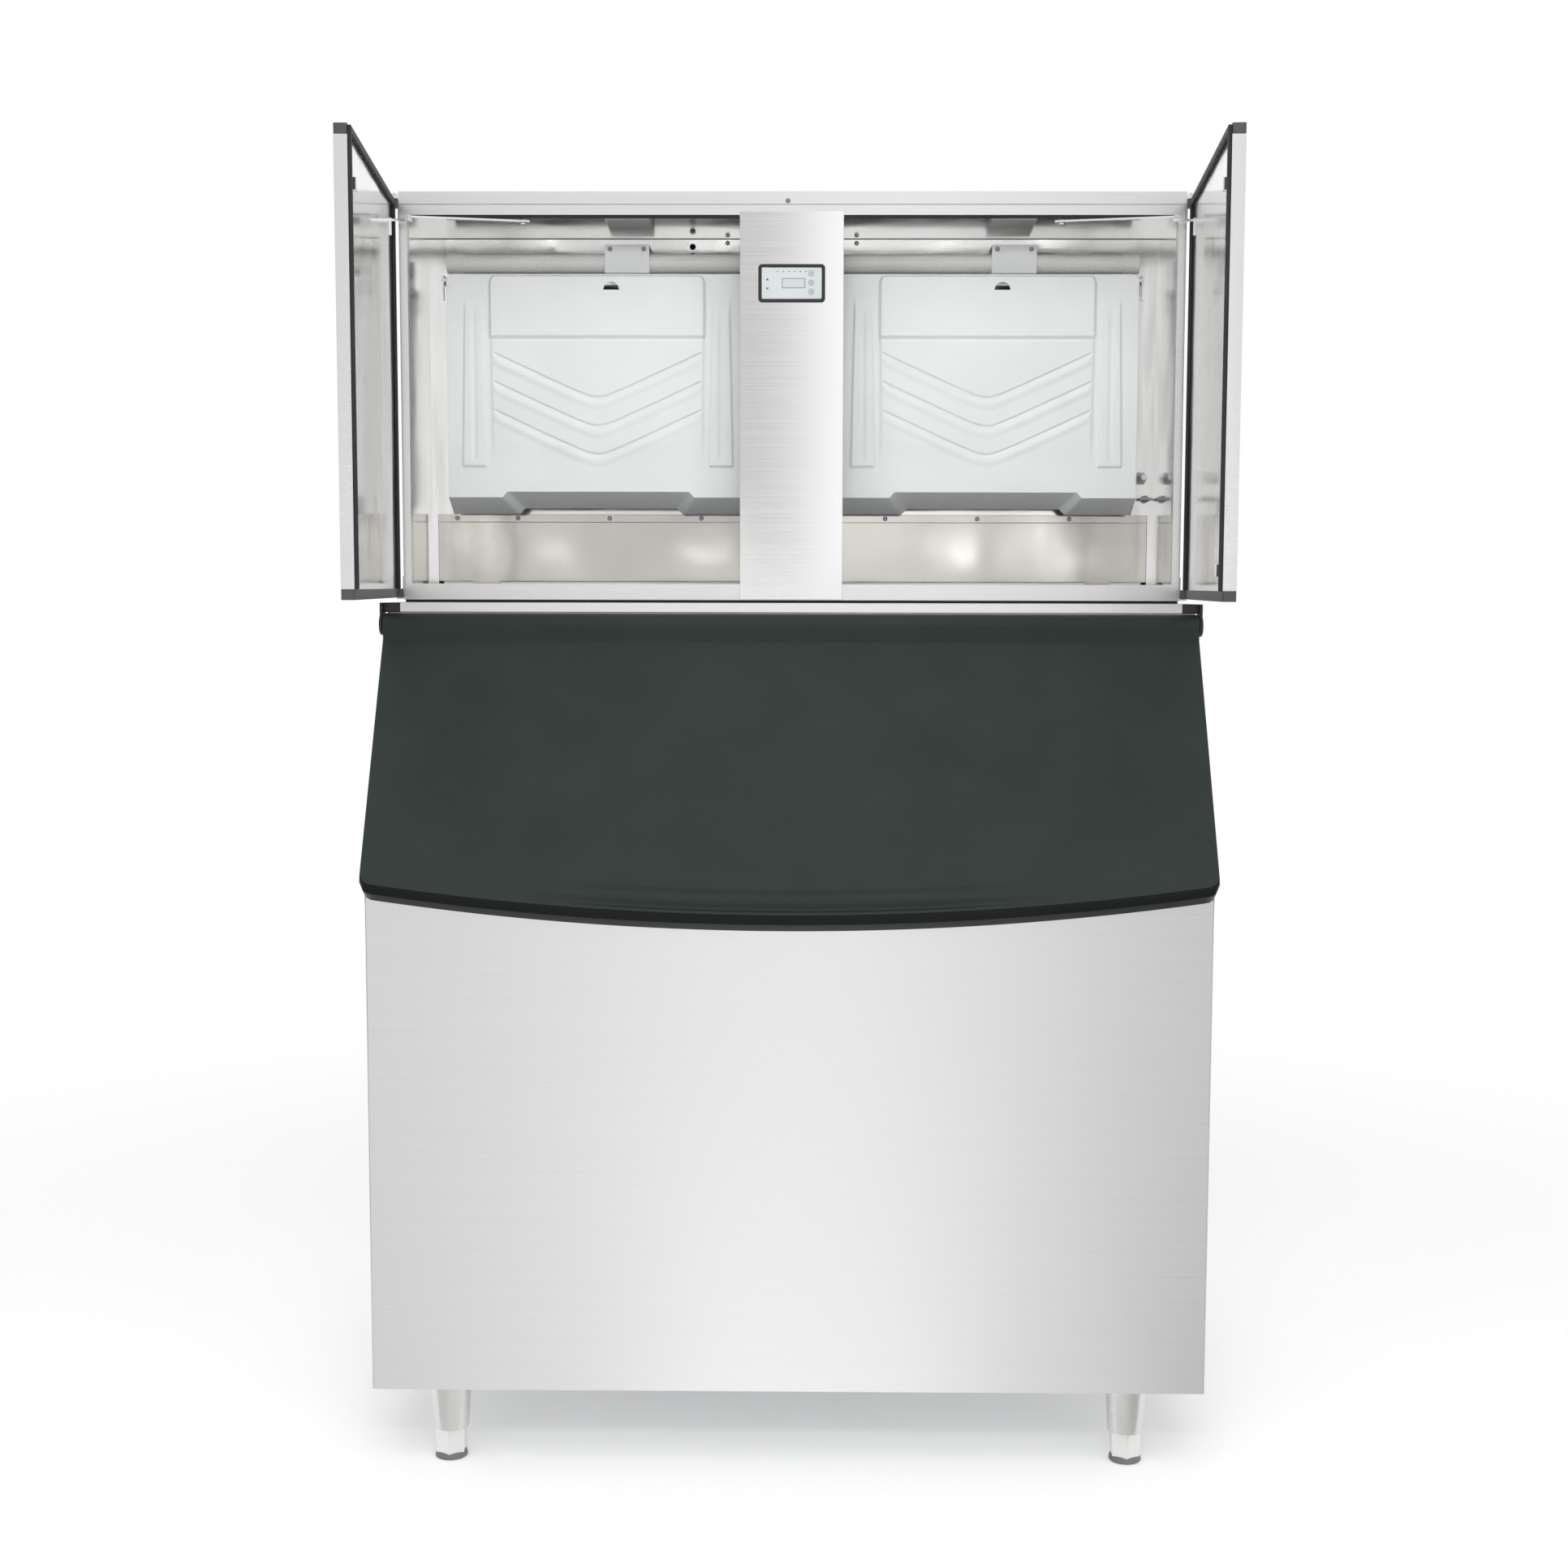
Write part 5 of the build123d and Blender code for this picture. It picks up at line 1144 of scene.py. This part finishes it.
# %% Leg shank
shank = add_cylinder("leg_shank", 56, LEG_TOP_R, LEG_TOP - LEG_SEAM, (0, 0, (LEG_TOP + LEG_SEAM) / 2))
start_edit(shank)
pick(shank, "faces", lambda face: face.normal.z < -SQUARELY)
draw_in(LEG_LOW_R / LEG_TOP_R)
# An inset draws a narrow ring, flush with the top face, where the leg's collar ends.
pick(shank, "faces", lambda face: face.normal.z > SQUARELY)
bpy.ops.mesh.inset(thickness=0.0015, depth=0.0)
end_edit()
soften(shank, 0.0014, 3)
print("shank", len(shank.data.polygons), "faces")

# %% [markdown]
# The foot starts as a cylinder with six sides. Its upright edges are bevelled, its lower end is
# drawn in and rounded, and a pad below it meets the floor.

# %% Levelling foot
foot = add_cylinder("leg_foot", 6, FOOT_FLAT_R / cos(pi / 6) * FOOT_FIT, LEG_SEAM - FOOT_PAD,
                    (0, 0, (LEG_SEAM + FOOT_PAD) / 2))
start_edit(foot)
pick(foot, "faces", lambda face: face.normal.z < -SQUARELY)
draw_in(0.93)
draw_out(-0.004)
draw_in(0.88)
pick(foot, "faces", lambda face: face.normal.z > SQUARELY)
draw_out(-0.0008)
draw_in(0.93)
draw_out(0.0025)
end_edit()
soften(foot, 0.0028, 3, angle=40)

pad = add_cylinder("foot_pad", 56, FOOT_PAD_R, FOOT_PAD - 2 * PAD_GAP, (0, 0, FOOT_PAD / 2 + PAD_GAP))
start_edit(pad)
pick(pad, "faces", lambda face: face.normal.z > SQUARELY)
draw_in(0.90)
end_edit()
soften(pad, 0.0026, 4, angle=40)
print("foot", len(foot.data.polygons), "faces, pad", len(pad.data.polygons), "faces")

# %% [markdown]
# Leg steel is drawn along the tube, and its foot is a little duller.

# %% Legs in their places
steel_leg = brushed_steel("steel_leg", (FINE, FINE, LONG), (0.74, 0.74, 0.73), 0.2, 0.32)
steel_foot = bright_steel("steel_foot", 0.22, 0.38, 0.0004)

shanks = copies_at(shank, LEG_PLACES, "leg_shanks", 30)
finish_piece(shanks, steel_leg, "cabinet")
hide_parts("legs")
feet = copies_at(foot, LEG_PLACES, "leg_feet", 30)
finish_piece(feet, steel_foot, "cabinet")
pads = copies_at(pad, LEG_PLACES, "leg_pads", 30)
finish_piece(pads, pad_grey, "cabinet")
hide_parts("levelling_feet")
print("legs stand at", LEG_PLACES)

# %% [markdown]
# ## The water tubes
# A plain plastic tube lies over each curtain and spreads the water along the ice plate. Its outer end
# is closed by a cap with a slightly larger rim.

# %% Water tubes
TUBE_Y = 0.131878
TUBE_Z = 1.8225
TUBE_R = 0.015
TUBE_ENDS = (0.070, 0.548)
CAP_ENDS = (0.530, 0.556)
CAP_RIM = 0.0012


def turned(name, radius, ends, y, z, sides=64):
    """A cylinder along X between two ends."""
    return add_cylinder(name, sides, radius, ends[1] - ends[0], ((ends[0] + ends[1]) / 2, y, z), ALONG_X)


tube_parts = []
for side in (-1, 1):
    tube = turned("tube", TUBE_R, sorted(side * x for x in TUBE_ENDS), TUBE_Y, TUBE_Z)
    soften(tube, 0.0008, 2)
    cap = turned("tube_cap", TUBE_R + CAP_RIM, sorted(side * x for x in CAP_ENDS), TUBE_Y, TUBE_Z)
    start_edit(cap)
    pick(cap, "faces", lambda face: face.normal.x * side > SQUARELY)
    bpy.ops.mesh.inset(thickness=0.0030, depth=0.0)
    bpy.ops.mesh.inset(thickness=0.0006, depth=-0.0014)
    end_edit()
    soften(cap, 0.0009, 3)
    tube_parts += [tube, cap]
tubes = joined(tube_parts, "water_tubes")
smooth(tubes, 35)
finish_piece(tubes, grey_tube, "cabinet")
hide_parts("distributor_tubes")
print("tubes", len(tubes.data.polygons), "faces")

# %% [markdown]
# ## Screws
# All the small screws have the same round head with a cross in it. The cross is two thin bars taken
# out of the head, and the one screw is then copied to every place.

# %% Screws
HEAD_R = 0.0038
HEAD_THICK = 0.0020
CROSS_BAR = (0.0042, 0.0022, 0.0008)
LEDGE = (0.167878, 1.41635)
WALL = 0.176878
SCREW_PLACES = [(-0.551, *LEDGE)] + [(0.002 + 0.151 * step, *LEDGE) for step in range(-3, 4)]
SCREW_PLACES += [(x, WALL, z) for x in (-0.106, 0.104) for z in (1.834, 1.862)]
SCREW_PLACES += [(bay + 0.045 + aside, 0.114578, 1.843) for bay in (-0.310, 0.310)
                 for aside in (-0.027, 0.027)]
SCREW_PLACES += [(-0.006, -0.019622, 1.895)]

screw = add_cylinder("screw_head", 24, HEAD_R, HEAD_THICK, (0, -HEAD_THICK / 2, 0), ALONG_Y)
start_edit(screw)
pick(screw, "faces", lambda face: face.normal.y < -SQUARELY)
bpy.ops.mesh.bevel(offset=0.0011, segments=3)
end_edit()
for turn in (0, pi / 2):
    bar = add_shape(bpy.ops.mesh.primitive_cube_add, "cross_bar", size=1, location=(0, -HEAD_THICK, 0),
                    rotation=(0, turn, 0), scale=CROSS_BAR)
    cut_away(screw, bar)
screws = copies_at(screw, SCREW_PLACES, "round_head_screws", 35)
finish_piece(screws, steel_screw, "cabinet")
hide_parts("screws")
print("screws", len(SCREW_PLACES))

# %% [markdown]
# ## The control panel
# A pale membrane lies in the black bezel. It has a small window, two round keys on the left with an
# arrow each, three ringed keys on the right, and a row of six lamps above the window.
# Its print is made of very thin pieces, because the part carries no words.

# %% Membrane
PANEL_MIDDLE = Vector((0.0, -0.018122 - 0.003, 1.7705))
PANEL_SIZE = (0.0924, 0.0474)
WINDOW_MIDDLE_X = 0.003
WINDOW_SIZE = (0.034, 0.0135)
WINDOW_FRAME = 0.0018
LEFT_KEYS = [(-0.0375, 0.0055, 1), (-0.0375, -0.0080, -1)]
RIGHT_KEYS = [(0.0300, 0.0150), (0.0300, 0.0008), (0.0300, -0.0130)]
LAMP_ROW = [(-0.022 + 0.0088 * step, 0.0178) for step in range(6)]
KEY_R = 0.0042
KEY_THICK = 0.0009
MARK_THICK = 0.0010


def on_panel(x, z, forward):
    """A point on the panel's face, or forward of it."""
    return PANEL_MIDDLE + Vector((x, -forward, z))


def plate_at(name, x, z, width, height, thick, corner):
    """A thin plate on the panel's face, standing forward by its thickness, with round corners."""
    piece = add_shape(bpy.ops.mesh.primitive_cube_add, name, size=1, location=on_panel(x, z, thick / 2),
                      scale=(width, thick, height))
    start_edit(piece, "EDGE")
    pick(piece, "edges", lambda edge: abs(edge.verts[0].co.y - edge.verts[1].co.y) > thick / 2)
    bpy.ops.mesh.bevel(offset=corner, segments=5)
    end_edit()
    return piece


def disc_at(name, x, z, radius, thick, sides=32):
    """A round plate on the panel's face."""
    return add_cylinder(name, sides, radius, thick, on_panel(x, z, thick / 2), ALONG_Y)


base = plate_at("membrane", 0, 0, *PANEL_SIZE, 0.0004, 0.0022)
keys = [disc_at("key", place[0], place[1], KEY_R, KEY_THICK) for place in LEFT_KEYS + RIGHT_KEYS]
for key in keys:
    soften(key, 0.0004, 3)
panel_face = joined([base] + keys, "panel_face")
smooth(panel_face, 35)
finish_piece(panel_face, membrane, "cabinet")
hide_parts("control_face")
print("membrane", len(panel_face.data.polygons), "faces")

# %% Window and print
glass = plate_at("display_glass", WINDOW_MIDDLE_X, 0, *WINDOW_SIZE, 0.0006, 0.0006)
soften(glass, 0.00015, 2)
finish_piece(glass, glass_grey, "cabinet")

marks = [plate_at("display_frame", WINDOW_MIDDLE_X, 0, *(size + WINDOW_FRAME for size in WINDOW_SIZE),
                  0.0005, 0.0010)]
for x, z, way in LEFT_KEYS:
    arrow = disc_at("arrow", x, z, 0.0027, MARK_THICK, sides=3)
    if way < 0:
        start_edit(arrow)
        bpy.ops.mesh.select_all(action="SELECT")
        bpy.ops.transform.resize(value=(1, 1, -1), center_override=tuple(on_panel(x, z, 0)))
        bpy.ops.mesh.normals_make_consistent(inside=False)
        end_edit()
    marks.append(arrow)
for x, z in RIGHT_KEYS:
    marks.append(add_shape(bpy.ops.mesh.primitive_torus_add, "key_ring", major_radius=KEY_R - 0.0003,
                           minor_radius=0.00038, major_segments=40, minor_segments=6,
                           rotation=ALONG_Y, location=on_panel(x, z, 0.0008)))
    marks.append(disc_at("key_dot", x, z, 0.0013, MARK_THICK, sides=16))
marks += [disc_at("lamp", x, z, 0.0010, 0.0006, sides=12) for x, z in LAMP_ROW]
panel_print = joined(marks, "panel_print")
smooth(panel_print, 35)
finish_piece(panel_print, print_dark, "cabinet")
print("print", len(panel_print.data.polygons), "faces")

# %% [markdown]
# ## Grommet
# A black rubber grommet closes the hole for the sensor lead in the back wall, over the left bay.
# It is a torus whose middle is filled by a short plug.

# %% Grommet
GROMMET_X = -0.1625
GROMMET_Z = 1.8395
PLUG_HALF = 0.0036

grommet = add_shape(bpy.ops.mesh.primitive_torus_add, "sensor_grommet", major_radius=0.0044,
                    minor_radius=0.0024, major_segments=32, minor_segments=12, rotation=ALONG_Y,
                    location=(GROMMET_X, WALL - 0.0014, GROMMET_Z))
plug = turned("grommet_plug", PLUG_HALF, (GROMMET_X - PLUG_HALF, GROMMET_X + PLUG_HALF), WALL - 0.001,
              GROMMET_Z, sides=20)
grommet = joined([grommet, plug], "sensor_grommet")
smooth(grommet, 40)
finish_piece(grommet, rubber, "cabinet")
print("grommet placed")
